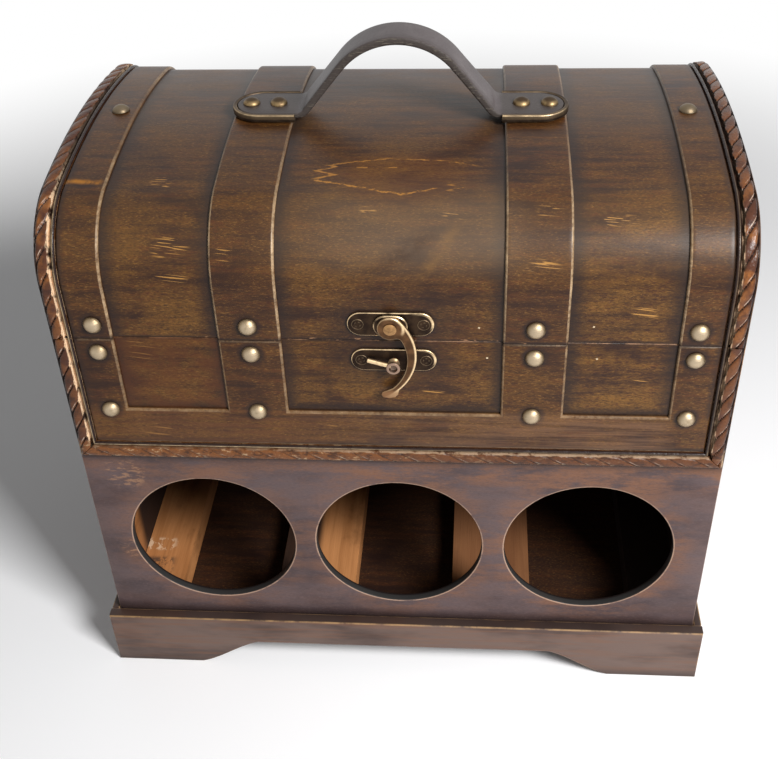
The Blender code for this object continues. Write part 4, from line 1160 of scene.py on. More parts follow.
close_tree(driving, driving.node("GeometryNodeInstanceOnPoints", sockets=scatter), given["Finish"])


def drive(name, places, head_piece, tilt, seed, material):
    """One mesh with a head at each (place, direction it faces), each turned and tilted a little at random."""
    holder = polyline(name, [place for place, direction in places])
    outward = holder.data.attributes.new("outward", "FLOAT_VECTOR", "POINT")
    outward.data.foreach_set("vector", [number for place, direction in places for number in direction])
    given = (head_piece, (tilt, tilt, pi), seed, material)
    mesh = grow(name, holder, driving.tree, driving_ids, dict(zip(head_inputs, given)))
    bpy.data.objects.remove(head_piece)
    return new_piece(name, mesh)


def forward_from(y, spots):
    """Places on an upright face for heads that face forward, from their (x, height)."""
    return [((x, y, z), FORWARD) for x, z in spots]


def nail_paint(recipe):
    point, x, y, z = recipe.place()
    brushed = recipe.noise(point, (300, 300, 1800), 3, 0.6)
    cloud = recipe.noise(point, 220, 3, 0.65)
    tarnish = recipe.attribute("from_middle").rise(0.50, 1.0) * 0.85
    relief = recipe.bump(brushed + cloud * 0.5, 0.00012)
    coat = Coat(recipe.mix(NAIL_PALE, NAIL_TARNISH, tarnish), 0.36 + brushed * 0.22, relief)
    coat.cover(NAIL_TARNISH, cloud.rise(0.5, 0.75) * 0.5)
    coat.cover(NAIL_DULL, z.rise(0.28, 0.30) * 0.85)
    return coat


nail_finish = finish("pale brass nail", nail_paint, metal=1.0)
nail_front = FRONT - STRAP_RISE - NAIL_SKIRT
crown_seat = shell_high.z + STRAP_RISE + NAIL_SKIRT
low_row, case_row, lid_row = NAIL_HEIGHTS
columns = (-NAIL_OUT, -NAIL_IN, NAIL_IN, NAIL_OUT)
case_places = forward_from(nail_front, [(x, z) for x in columns for z in (case_row, low_row)])
lid_places = forward_from(nail_front, [(x, lid_row) for x in columns])
lid_places += [((x, 0.0, crown_seat), UPWARD) for x in (-NAIL_OUT, NAIL_OUT)]
for body, places in (("case", case_places), ("lid", lid_places)):
    nail_dome = dome(NAIL_RADIUS, NAIL_RIM, NAIL_RISE, HEAD_RINGS)
    nail_head = head("nail_head", NAIL_RADIUS, HEAD_SIDES, nail_dome, NAIL_SKIRT)
    nails = drive(body + "_nail_heads", places, nail_head, NAIL_TILT, NAIL_SEED, nail_finish)
    fit(nails, body, "nail_brass", *[f"{body}_nail_{number}" for number in range(1, len(places) + 1)])

# Panel pins. Fine pins hold the panels and the plinth to the frame behind them, and their holes were filled
# with pale filler, which shows as dots.
PIN_RADIUS = 0.00055
PIN_RISE = 0.00012
PIN_SIDES = 10
PIN_SEED = 2
FILLER = (0.55, 0.42, 0.27)


def pin_paint(recipe):
    point, x, y, z = recipe.place()
    grit = recipe.noise(point, 1500, 2)
    return Coat(recipe.mix(FILLER, STAIN, grit.rise(0.4, 0.7) * 0.6), 0.5 + grit * 0.3)


pin_finish = finish("filled pin hole", pin_paint)
plinth_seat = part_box("plinth_front")[0].y + PIN_RISE
case_pins = forward_from(FRONT, [(0.0454, 0.2238), (0.0971, 0.2241)])
case_pins += forward_from(plinth_seat, [(0.0669, 0.0256), (0.1328, 0.0289)])
lid_pins = forward_from(FRONT, [(0.0413, 0.2412), (0.0943, 0.2425)])
for body, places in (("case", case_pins), ("lid", lid_pins)):
    pin_head = head("pin_head", PIN_RADIUS, PIN_SIDES, dome(PIN_RADIUS, 0.0, PIN_RISE, 2), PIN_RISE)
    fit(drive(body + "_panel_pins", places, pin_head, 0.0, PIN_SEED, pin_finish), body, "stained_ply")

# Latch plates. Round-ended plates stamped from brass with an antique finish, worn bright on their rims,
# each held by two dark cross-slotted screws. Each rim carries a painted highlight on its upper right. The
# lid's plate has a raised pad, on which the hook's rivet stands.
HOOK_HEIGHT = sum(corner.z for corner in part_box("hook_plate")) / 2
CATCH_HEIGHT = sum(corner.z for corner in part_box("catch_plate")) / 2
PLATE_LENGTH = 0.041
HOOK_PLATE_HEIGHT = 0.013
CATCH_PLATE_HEIGHT = 0.0125
CATCH_OFFSET = 0.001
PLATE_FACE = 0.0013
PLATE_ROUNDING = 0.0005
PAD_LENGTH = 0.0165
PAD_HEIGHT = 0.012
PAD_FACE = 0.0032
PAD_ROUNDING = 0.0008
SCREW_OFF = 0.0155
SCREW_RADIUS = 0.0030
SCREW_SIDES = 40
SCREW_TILT = radians(1)
SLOT_HALF_WIDTH = 0.0004
SLOT_REACH = 0.0014
SLOT_DEPTH = 0.0006
BRASS_DARK = (0.024, 0.015, 0.011)
BRASS_BROWN = (0.066, 0.040, 0.023)
BRASS_BRIGHT = (0.98, 0.72, 0.42)


def old_brass(recipe, point, bright, ground=BRASS_BROWN, glow=0.0):
    """Brass with a dark finish, rubbed bright where `bright` is 1. `glow` lets more of the ground show."""
    cloud = recipe.noise(point, 190, 3, 0.6)
    scuff = recipe.noise(point, 600, 3, 0.7)
    colour = recipe.mix(BRASS_DARK, ground, (cloud.rise(0.35, 0.7) * 0.6 + glow).least(1.0))
    rough = 0.42 + scuff * 0.18 - bright * 0.20
    coat = Coat(colour, rough, recipe.bump(cloud + scuff * 0.4, 0.00006))
    coat.cover(BRASS_BRIGHT, (bright * (scuff + 0.4)).least(1.0))
    return coat


def plate_paint(recipe):
    point, x, y, z = recipe.place()
    rub_noise = recipe.noise(point, 120, 2)
    bright = recipe.attribute("wear").rise(0.15, 0.7) * rub_noise.rise(0.30, 0.6)
    for (across, height), distance in zip(LATCH_CENTRES, from_plates(x, z)):
        # Painted highlight on the upper right of each plate's rim.
        upper_right_highlight = (x - across).rise(0.009, 0.015) * (z - height).rise(-0.004, 0.001)
        bright = bright.most(distance.rise(0.0050, 0.0057) * upper_right_highlight * near_line(z, height, 0.008))
    return old_brass(recipe, point, bright)


def screw_paint(recipe):
    point, x, y, z = recipe.place()
    from_middle = recipe.attribute("from_middle")
    bright = near_line(from_middle, 0.92, 0.08) * 0.14 + near_line(from_middle, 0.45, 0.12) * 0.08
    coat = old_brass(recipe, point, bright)
    coat.cover(DIRT_AND_SHADE, (near_line(from_middle, 0.73, 0.13) * 0.95).most(from_middle.rise(0.22, 0.10) * 0.8))
    return coat


def stadium(centre, length, height):
    """A round-ended outline."""
    half = (length - height) / 2
    right = arc((centre[0] + half, centre[1]), height / 2, -90, 90, 24)
    left = arc((centre[0] - half, centre[1]), height / 2, 90, 270, 24)
    return right + left


def join(name, meshes):
    """One piece of several meshes, which keep their own finishes."""
    form = bmesh.new()
    finishes = []
    for mesh in meshes:
        before = len(form.faces)
        form.from_mesh(mesh)
        form.faces.ensure_lookup_table()
        for face in form.faces[before:]:
            face.material_index += len(finishes)
        finishes += mesh.materials
        bpy.data.meshes.remove(mesh)
    joined = bpy.data.meshes.new(name)
    form.to_mesh(joined)
    form.free()
    return new_piece(name, joined, *finishes)


def screw_head():
    """A countersunk screw in its dished hole: a raised ring round a low dome with a cross slot."""
    rings = [(1.0, 0.00005), (0.93, 0.00022), (0.84, 0.00016), (0.76, -0.00012), (0.68, -0.00010)]
    rings += [(0.55, 0.00010), (0.42, 0.00016), (0.30, 0.00019), (0.18, 0.0002), (0.0, 0.0002)]
    screw = head("screw", SCREW_RADIUS, SCREW_SIDES, rings, 0.0002)
    for vertex in screw.data.vertices:
        a, b, height = vertex.co
        in_slot = min(abs(a), abs(b)) < SLOT_HALF_WIDTH and hypot(a, b) < SLOT_REACH
        if in_slot and height > 0:
            vertex.co.z = height - SLOT_DEPTH
    return screw


def plate_mesh(name, outline, low, high, rounding):
    """A plate on the front, from `low` to `high` in front of the panel."""
    mesh = cut_sheet(name, [outline], facing_front, FRONT - high, FRONT - low, rounding, 4)
    mesh.materials.append(plate_finish)
    return mesh


plate_finish = finish("old brass plate", plate_paint, metal=1.0)
screw_finish = finish("old brass screw", screw_paint, metal=1.0)
for node, body, centre, height, seed in (
    ("hook_plate", "lid", (0.0, HOOK_HEIGHT), HOOK_PLATE_HEIGHT, 23),
    ("catch_plate", "case", (CATCH_OFFSET, CATCH_HEIGHT), CATCH_PLATE_HEIGHT, 24),
):
    name = "latch_" + node
    outline = stadium(centre, PLATE_LENGTH, height)
    meshes = [plate_mesh(name, outline, 0.0, PLATE_FACE, PLATE_ROUNDING)]
    if node == "hook_plate":
        pad_outline = stadium(centre, PAD_LENGTH, PAD_HEIGHT)
        meshes.append(plate_mesh("pad", pad_outline, PLATE_FACE / 2, PAD_FACE, PAD_ROUNDING))
    fit(join(name, meshes), body, "latch_brass", node)
    spots = [(centre[0] + off, centre[1]) for off in (-SCREW_OFF, SCREW_OFF)]
    screw_places = forward_from(FRONT - PLATE_FACE, spots)
    screws = drive(name + "_screws", screw_places, screw_head(), SCREW_TILT, seed, screw_finish)
    fit(screws, body, "latch_brass")

# Hook. Stamped from thick brass sheet: a round head on the rivet, a curved arm that swings round the post
# on the case, and a tip flared for the finger. Its outer edge is rubbed bright, and a highlight is painted on
# the head's upper right rim; the rivet's head is brighter brass.
HOOK_HEAD = 0.0062
HOOK_ARM_RADIUS = 0.0287
HOOK_ARM_INNER = 0.0241
HOOK_ARM_DROP = 0.0023
HOOK_ARM_START = 43
HOOK_ARM_END = -46
HOOK_ARM_ASIDE = (HOOK_ARM_RADIUS - HOOK_HEAD) * cos(radians(HOOK_ARM_START))
HOOK_ARM_BELOW = (HOOK_ARM_RADIUS - HOOK_HEAD) * sin(radians(HOOK_ARM_START))
HOOK_FILLET = 0.0026
HOOK_TAB_TOP = 0.0370
HOOK_TAB = (
    (-0.0048, 0.0374),
    (-0.0054, 0.0392),
    (-0.0044, 0.0406),
    (-0.0016, 0.0411),
    (0.0014, 0.0405),
    (0.0029, 0.0388),
)
HOOK_BACK = 0.0035
HOOK_FACE = 0.0052
HOOK_BORE = 0.0020
HOOK_ROUNDING = 0.0006
RIVET_SHANK = 0.0017
RIVET_SEAT = 0.0055
RIVET_RADIUS = 0.0031
RIVET_RIM = 0.0003
RIVET_RISE = 0.0011
COPPER_BROWN = (0.155, 0.078, 0.036)
RIVET_BRASS = (0.42, 0.235, 0.10)
TAB_GOLD = (0.30, 0.155, 0.075)


def crossing(first, first_radius, second, second_radius):
    """The point where two circles cross, to the left of the way from the first centre to the second."""
    way = Vector(second) - Vector(first)
    along = (first_radius ** 2 - second_radius ** 2 + way.length ** 2) / (2 * way.length)
    aside = sqrt(first_radius ** 2 - along ** 2)
    way.normalize()
    return Vector(first) + way * along + Vector((-way.y, way.x)) * aside


def turn_to(centre, point):
    """The direction of a point from a centre, in degrees."""
    return degrees(atan2(point[1] - centre[1], point[0] - centre[0]))


def hook_outline(pivot):
    """A round head and a curved arm that narrows towards its tip, which ends in a tab for the finger."""
    centre = (pivot[0] - HOOK_ARM_ASIDE, pivot[1] - HOOK_ARM_BELOW)
    inner = (centre[0], centre[1] - HOOK_ARM_DROP)
    fillet = crossing(pivot, HOOK_HEAD + HOOK_FILLET, inner, HOOK_ARM_INNER - HOOK_FILLET)
    head_end = turn_to(pivot, fillet) + 360
    outline = arc(pivot, HOOK_HEAD, HOOK_ARM_START, head_end, 40)
    outline += arc(fillet, HOOK_FILLET, head_end - 180, turn_to(inner, fillet), 8)[1:]
    outline += arc(inner, HOOK_ARM_INNER, turn_to(inner, fillet), HOOK_ARM_END, 24)[1:]
    outline += [(pivot[0] + across, pivot[1] - drop) for across, drop in HOOK_TAB]
    outline += arc(centre, HOOK_ARM_RADIUS, HOOK_ARM_END, HOOK_ARM_START, 36)[:-1]
    return outline


def hook_paint(recipe):
    point, x, y, z = recipe.place()
    on_slant = x + z
    from_arm = away(x + HOOK_ARM_ASIDE, z - HOOK_HEIGHT + HOOK_ARM_BELOW)
    arm = from_arm.rise(HOOK_ARM_RADIUS - 0.0013, HOOK_ARM_RADIUS - 0.0005)
    arm = arm * on_slant.rise(HOOK_HEIGHT - 0.05, HOOK_HEIGHT - 0.03)
    head_rim = near_line(away(x, z - HOOK_HEIGHT), HOOK_HEAD, 0.0012)
    # Painted highlight on the upper right of the head's rim.
    outer = arm.most(head_rim * on_slant.rise(HOOK_HEIGHT + 0.001, HOOK_HEIGHT + 0.006))
    tab = z.rise(HOOK_HEIGHT - HOOK_TAB_TOP + 0.002, HOOK_HEIGHT - HOOK_TAB_TOP - 0.001)
    front = y.rise(FRONT - HOOK_BACK, FRONT - HOOK_FACE)
    wear = (recipe.attribute("wear").rise(0.1, 0.7) * 0.28).most(outer * 0.9)
    coat = old_brass(recipe, point, wear * (front * 0.6 + 0.4), COPPER_BROWN, 0.40)
    coat.cover(TAB_GOLD, tab * 0.75)
    return coat


def rivet_paint(recipe):
    point, x, y, z = recipe.place()
    cloud = recipe.noise(point, 260, 3, 0.6)
    colour = recipe.mix(RIVET_BRASS, BRASS_BROWN, cloud.rise(0.45, 0.75) * 0.7)
    return Coat(colour, 0.28 + cloud * 0.2, recipe.bump(cloud, 0.00008))


def turned(name, profile, axis, middle, sides, material):
    """A mesh turned on a lathe: `profile` are (distance along the axis, radius) from end to end."""
    form = bmesh.new()
    axis = Vector(axis)
    aside = axis.orthogonal().normalized()
    up = axis.cross(aside)
    rings = []
    for along, radius in profile:
        points = circle((0.0, 0.0), radius, sides)
        rings.append([form.verts.new(Vector(middle) + axis * along + aside * a + up * b) for a, b in points])
    bridge(form, rings)
    form.faces.new(rings[0])
    form.faces.new(rings[-1])
    bmesh.ops.recalc_face_normals(form, faces=form.faces)
    mesh = bpy.data.meshes.new(name)
    close_form(form, mesh, SMOOTH_ANGLE)
    mesh.materials.append(material)
    return mesh


def bulge(seat, rim, radius, rise, steps):
    """The profile of a domed end, as (distance, radius), from its rim to near its middle."""
    ball = (radius ** 2 + rise ** 2) / (2 * rise)
    shares = [1 - step / steps for step in range(steps)] + [0.08]
    foot = seat + rim - ball + rise
    return [(foot + sqrt(ball ** 2 - (radius * share) ** 2), radius * share) for share in shares]


hook_pivot = (0.0, HOOK_HEIGHT)
hook_outlines = [hook_outline(hook_pivot), circle(hook_pivot, HOOK_BORE, 32)]
hook_face, hook_back = FRONT - HOOK_FACE, FRONT - HOOK_BACK
hook_mesh = cut_sheet("latch_hook", hook_outlines, facing_front, hook_face, hook_back, HOOK_ROUNDING, 4)
hook = new_piece("latch_hook", hook_mesh, finish("old brass hook", hook_paint, metal=1.0))
fit(hook, "hook", "hook_brass", "hook")
rivet_finish = finish("brass hook rivet", rivet_paint, metal=1.0)
rivet_profile = [(PAD_FACE, RIVET_SHANK), (RIVET_SEAT, RIVET_SHANK), (RIVET_SEAT, RIVET_RADIUS)]
rivet_profile += bulge(RIVET_SEAT, RIVET_RIM, RIVET_RADIUS, RIVET_RISE - RIVET_RIM, 6)
rivet_mesh = turned("latch_rivet", rivet_profile, FORWARD, (0.0, FRONT, HOOK_HEIGHT), 32, rivet_finish)
fit(new_piece("latch_rivet", rivet_mesh), "lid", "latch_brass")

# Catch post. Turned brass with a waist and a dished ring on its end, riveted to the case's plate, with a thin
# round peg to the left. The hook's arm lies round it.
POST_END = 0.0067
POST_HEIGHT = CATCH_HEIGHT - 0.0013
POST_RING = 0.0034
POST_WAIST = 0.0017
POST_FLANGE = 0.0028
POST_DISH = 0.0020
PEG_RADIUS = 0.0012
PEG_ROUNDING = 0.0003
DISH_BROWN = (0.150, 0.108, 0.088)
ROSY_BRASS = (0.31, 0.205, 0.165)


def post_paint(recipe):
    point, x, y, z = recipe.place()
    face = y.rise(FRONT - POST_END + 0.0014, FRONT - POST_END + 0.0002)
    ring = y.rise(FRONT - POST_END + 0.0032, FRONT - POST_END + 0.0024)
    from_axis = away(x - CATCH_OFFSET, z - POST_HEIGHT)
    dish = from_axis.rise(POST_DISH + 0.0002, POST_DISH - 0.0001) * ring
    coat = old_brass(recipe, point, face * 0.15 + 0.2, COPPER_BROWN, 0.45)
    coat.cover(ROSY_BRASS, face * 0.75)
    coat.cover(DISH_BROWN, dish * 0.85)
    return coat


def peg_paint(recipe):
    point, x, y, z = recipe.place()
    return old_brass(recipe, point, 0.9)


post_profile = [
    (PLATE_FACE, POST_FLANGE),
    (PLATE_FACE + 0.0006, POST_FLANGE),
    (PLATE_FACE + 0.0012, POST_WAIST + 0.0004),
    (PLATE_FACE + 0.0020, POST_WAIST),
    (POST_END - 0.0018, POST_WAIST),
    (POST_END - 0.0014, POST_WAIST + 0.0005),
    (POST_END - 0.0011, POST_RING - 0.0002),
    (POST_END - 0.0008, POST_RING),
    (POST_END - 0.0004, POST_RING),
    (POST_END - 0.0001, POST_RING - 0.0002),
    (POST_END, POST_RING - 0.0005),
    (POST_END, POST_DISH + 0.0001),
    (POST_END - 0.0006, POST_DISH - 0.0001),
    (POST_END - 0.0016, POST_DISH - 0.0003),
    (POST_END - 0.0019, POST_DISH - 0.0008),
]
post_finish = finish("old brass post", post_paint, metal=1.0)
post_mesh = turned("latch_post", post_profile, FORWARD, (CATCH_OFFSET, FRONT, POST_HEIGHT), 40, post_finish)
fit(new_piece("latch_post", post_mesh), "case", "latch_brass", "catch_post")
peg_start = Vector((CATCH_OFFSET - 0.0012, FRONT - POST_END + 0.0022, POST_HEIGHT + 0.0002))
peg_end = Vector((-0.0116, FRONT - 0.0030, CATCH_HEIGHT + 0.0012))
peg_length = (peg_end - peg_start).length
peg_profile = [
    (0.0, PEG_RADIUS),
    (peg_length - PEG_ROUNDING, PEG_RADIUS),
    (peg_length - PEG_ROUNDING / 3, PEG_RADIUS * 0.88),
    (peg_length, PEG_RADIUS * 0.6),
]
peg_finish = finish("bright brass peg", peg_paint, metal=1.0)
peg_mesh = turned("latch_peg", peg_profile, (peg_end - peg_start).normalized(), peg_start, 20, peg_finish)
fit(new_piece("latch_peg", peg_mesh), "case", "latch_brass")

# Handle trays. Two D-shaped trays cast in brass with an antique finish, screwed down on the middle straps
# at the top of the lid and open towards the middle, with thick rounded walls.
TRAY_INNER_END = 0.051
TRAY_CENTRE = 0.069
TRAY_RADIUS = 0.015
TRAY_RECESS = 0.0128
TRAY_BASE = 0.001
TRAY_ROUNDING = 0.0009
TRAY_STEPS = 40
TRAY_BRONZE = (0.080, 0.057, 0.040)
tray_low, tray_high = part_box("handle_tray_right")


def facing_up(a, b, w):
    return (a, b, w)


def tray_paint(recipe):
    point, x, y, z = recipe.place()
    front = y.rise(0.004, -0.012)
    rub_noise = recipe.noise(point, 90, 3, 0.6)
    # The rubbed rim is brighter toward the front, and the front wall lighter: painted highlight.
    bright = recipe.attribute("wear").rise(0.5, 1.0) * (front * 0.40 + 0.10) * rub_noise.rise(0.32, 0.62)
    wall = z.rise(tray_low.z + 0.0014, tray_low.z + 0.002) * front
    return old_brass(recipe, point, bright.most(wall * 0.10), TRAY_BRONZE, 0.35)


def d_shape(side, radius):
    """A D from its straight inner end to its round outer one."""
    bow = arc((TRAY_CENTRE, 0.0), radius, -90, 90, TRAY_STEPS)
    return [(side * a, b) for a, b in [(TRAY_INNER_END, -radius), *bow, (TRAY_INNER_END, radius)]]


tray_finish = finish("old brass tray", tray_paint, metal=1.0)
for side, word in ((-1, "left"), (1, "right")):
    wall_outline = d_shape(side, TRAY_RADIUS) + d_shape(side, TRAY_RECESS)[::-1]
    wall = cut_sheet("wall", [wall_outline], facing_up, tray_low.z, tray_high.z, TRAY_ROUNDING, 4)
    base_outline = d_shape(side, (TRAY_RADIUS + TRAY_RECESS) / 2)
    base = cut_sheet("base", [base_outline], facing_up, tray_low.z, tray_low.z + TRAY_BASE, TRAY_BASE / 5, 2)
    for mesh in (wall, base):
        mesh.materials.append(tray_finish)
    fit(join("tray_" + word, [wall, base]), "lid", "tray_brass", "handle_tray_" + word)

# Handle. One strip of thick leather, dyed a purplish brown and burnished: its thin round tails lie riveted
# in the trays, and between them it stands up in a stiff narrower arch. Its edges are dark, with rough pale
# threads.
CREST_RADIUS = 0.034
FOOT_BEND_RADIUS = 0.008
ARCH_SLOPE = 50
FOOT_GAP = 0.001
ARCH_THICKNESS = 0.004
TAIL_THICKNESS = 0.0024
TAIL_RADIUS = 0.0125
TAIL_TURN = 86
CREST_HALF_WIDTH = 0.0105
NARROWING = 0.5
THICKENING = 0.75
LEATHER_ROUNDING = 0.3
LEATHER_GAP = 0.0003
TAIL_STEPS = 12
FOOT_STEPS = 10
SLOPE_PARTS = 5
ARCH_STEPS = 40
LEATHER = (0.052, 0.038, 0.039)
LEATHER_LIGHT = (0.096, 0.076, 0.077)
LEATHER_EDGE = (0.028, 0.020, 0.016)
LEATHER_THREAD = (0.21, 0.175, 0.135)
TAIL_DARK = (0.027, 0.018, 0.015)
leather_seat = tray_low.z + TRAY_BASE + LEATHER_GAP


def handle_stations():
    """(x, underside z, slope, share of the full thickness) from the right foot to the crest."""
    foot = TRAY_INNER_END - FOOT_GAP
    slope = radians(ARCH_SLOPE)
    straight = (foot - (CREST_RADIUS + FOOT_BEND_RADIUS) * sin(slope)) / cos(slope)
    stations = []
    for step in range(FOOT_STEPS + 1):
        angle = slope * step / FOOT_STEPS
        x = foot - FOOT_BEND_RADIUS * sin(angle)
        z = leather_seat + FOOT_BEND_RADIUS * (1 - cos(angle))
        stations.append((x, z, angle, THICKENING * step / FOOT_STEPS))
    foot_x, foot_z = stations[-1][:2]
    crest_centre = foot_z + straight * sin(slope) - CREST_RADIUS * cos(slope)
    for step in range(1, SLOPE_PARTS):
        run = straight * step / SLOPE_PARTS
        share = THICKENING + (1 - THICKENING) * step / SLOPE_PARTS
        stations.append((foot_x - run * cos(slope), foot_z + run * sin(slope), slope, share))
    for step in range(ARCH_STEPS + 1):
        angle = slope * (1 - step / ARCH_STEPS)
        stations.append((CREST_RADIUS * sin(angle), crest_centre + CREST_RADIUS * cos(angle), angle, 1.0))
    return stations


def handle_rings():
    """(x, underside z, slope, thickness, half width) from the right tail's end to the left one's."""
    rings = []
    for step in range(TAIL_STEPS + 1):
        angle = radians(TAIL_TURN * (1 - step / TAIL_STEPS))
        x = TRAY_CENTRE + TAIL_RADIUS * sin(angle)
        rings.append((x, leather_seat, 0.0, TAIL_THICKNESS, TAIL_RADIUS * cos(angle)))
    for x, z, slope, share in handle_stations():
        thick = TAIL_THICKNESS + (ARCH_THICKNESS - TAIL_THICKNESS) * share
        narrowed = min(1.0, (1 - x / TRAY_INNER_END) / NARROWING)
        narrowed = narrowed * narrowed * (3 - 2 * narrowed)
        rings.append((x, z, slope, thick, TAIL_RADIUS + (CREST_HALF_WIDTH - TAIL_RADIUS) * narrowed))
    return rings + [(-x, z, -slope, thick, half) for x, z, slope, thick, half in rings[-2::-1]]


def leather_section(thick, half):
    """(across, height, on the edge) round the strip's section, with soft corners."""
    soft = min(thick * LEATHER_ROUNDING, half * 0.8)
    flat = half - soft
    outline = []
    corners = ((0, flat, thick - soft), (90, -flat, thick - soft), (180, -flat, soft), (270, flat, soft))
    for start, across, height in corners:
        for step, (a, b) in enumerate(arc((across, height), soft, start, start + 90, 4)):
            outline.append((a, b, abs(cos(radians(start + 90 * step / 4)))))
        if start == 0:
            outline += [(flat * share, thick, 0.0) for share in (0.5, 0.0, -0.5)]
        if start == 180:
            outline += [(flat * share, 0.0, 0.0) for share in (-0.5, 0.0, 0.5)]
    return outline


def leather_paint(recipe):
    point, x, y, z = recipe.place()
    pores = recipe.noise(point, 900, 3, 0.6)
    cloud = recipe.noise(point, 60, 3, 0.6)
    creases = recipe.noise(point, (420, 45, 420), 3, 0.6)
    rim = recipe.attribute("rim")
    threads = recipe.noise(point, (130, 1600, 1100), 3, 0.7).rise(0.52, 0.62) * rim.rise(0.4, 0.85)
    relief = recipe.bump(pores * 0.5 + creases * 0.4 + threads * 1.2, 0.0002)
    colour = recipe.mix(LEATHER, LEATHER_LIGHT, cloud.rise(0.35, 0.7) * 0.7)
    coat = Coat(colour, 0.40 + pores * 0.12 + rim * 0.25, relief)
    coat.cover(LEATHER_EDGE, pores.rise(0.50, 0.64) * 0.35)
    coat.cover(LEATHER_EDGE, abs(y).rise(0.0050, 0.0085) * 0.4)
    coat.cover(LEATHER, creases.rise(0.55, 0.7) * 0.5)
    coat.cover(TAIL_DARK, abs(x).rise(0.0495, 0.0520) * 0.9)
    coat.cover(LEATHER_EDGE, rim.rise(0.45, 0.85) * 0.92)
    coat.cover(LEATHER_THREAD, threads * 0.3)
    return coat


handle_form = bmesh.new()
rim_layer = handle_form.verts.layers.float.new("rim")
loops = []
for x, z, slope, thick, half in handle_rings():
    loops.append([])
    for across, height, rim in leather_section(thick, half):
        vertex = handle_form.verts.new((x + height * sin(slope), across, z + height * cos(slope)))
        vertex[rim_layer] = rim
        loops[-1].append(vertex)
bridge(handle_form, loops)
handle_form.faces.new(loops[0])
handle_form.faces.new(loops[-1])
handle_mesh = bpy.data.meshes.new("leather_handle")
handle_form.to_mesh(handle_mesh)
handle_form.free()
handle_mesh.materials.append(finish("burnished leather", leather_paint))
fit(smooth_piece("leather_handle", handle_mesh), "lid", "handle_leather", "handle_strap")

# Handle rivets. Domed brass rivets, two through each tail of the handle and its tray, with a darker middle
# and a rim rubbed bright on the front side, where a highlight is painted.
HANDLE_RIVET_RADIUS = 0.0043
HANDLE_RIVET_RISE = 0.0024
HANDLE_RIVET_PLACES = (0.0607, 0.0745)
HANDLE_RIVET_TILT = radians(3)
HANDLE_RIVET_SEED = 5
RIVET_DARK = (0.075, 0.051, 0.031)
RIVET_RUB_AND_HIGHLIGHT = (0.27, 0.185, 0.090)


def domed_rivet_paint(recipe):
    point, x, y, z = recipe.place()
    cloud = recipe.noise(point, 210, 3, 0.65)
    # The rim is bright only on its front side: rubbed brass and a painted highlight.
    rim_rub_and_highlight = recipe.attribute("from_middle").rise(0.55, 0.92) * y.rise(0.002, -0.003) * 0.85
    coat = Coat(recipe.mix(RIVET_DARK, RIVET_RUB_AND_HIGHLIGHT, rim_rub_and_highlight), 0.36 + cloud * 0.22, recipe.bump(cloud, 0.0001))
    coat.cover(BRASS_BROWN, cloud.rise(0.48, 0.68) * 0.75)
    return coat


domed_rivet_finish = finish("brass handle rivet", domed_rivet_paint, metal=1.0)
rivet_dome = dome(HANDLE_RIVET_RADIUS, NAIL_RIM, HANDLE_RIVET_RISE, HEAD_RINGS)
rivet_head = head("rivet_head", HANDLE_RIVET_RADIUS, HEAD_SIDES, rivet_dome, LEATHER_GAP)
rivet_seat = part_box("handle_rivet_1")[0].z
places = [((side * x, 0.0, rivet_seat), UPWARD) for side in (-1, 1) for x in HANDLE_RIVET_PLACES]
rivets = drive("handle_rivets", places, rivet_head, HANDLE_RIVET_TILT, HANDLE_RIVET_SEED, domed_rivet_finish)
fit(rivets, "lid", "rivet_brass", *[f"handle_rivet_{number}" for number in range(1, 5)])

# Hinges. Two small butt hinges on the back, stamped and rolled from brass sheet with the antique finish:
# the case's leaf carries the outer knuckles and the pin, the lid's leaf the middle one. Each leaf has three
# screws.
HINGE_WIDTH = 0.030
LEAF_THICKNESS = 0.001
BARREL_RADIUS = 0.0025
PIN_SHARE = 0.4
KNUCKLE_WIDTH = 0.010
KNUCKLE_GAP = 0.0003
KNUCKLE_ROUNDING = 0.0003
LEAF_SCREW_SPACING = 0.010
LEAF_SCREW_RISE = 0.0088
LEAF_SCREW_SCALE = 0.75
LEAF_SCREW_SEED = 11
BACKWARD = (0.0, 1.0, 0.0)


def hinge_paint(recipe):
    point, x, y, z = recipe.place()
    rub_noise = recipe.noise(point, 120, 2)
    return old_brass(recipe, point, recipe.attribute("wear").rise(0.2, 0.9) * rub_noise.rise(0.4, 0.7) * 0.6)


def knuckle(start, end, radius, y):
    """One rolled knuckle, or the pin's end, as a turned mesh along X."""
    profile = [
        (start, radius - KNUCKLE_ROUNDING),
        (start + KNUCKLE_ROUNDING, radius),
        (end - KNUCKLE_ROUNDING, radius),
        (end, radius - KNUCKLE_ROUNDING),
    ]
    return turned("knuckle", profile, (1.0, 0.0, 0.0), (0.0, y, JOINT_HEIGHT), 28, hinge_finish)


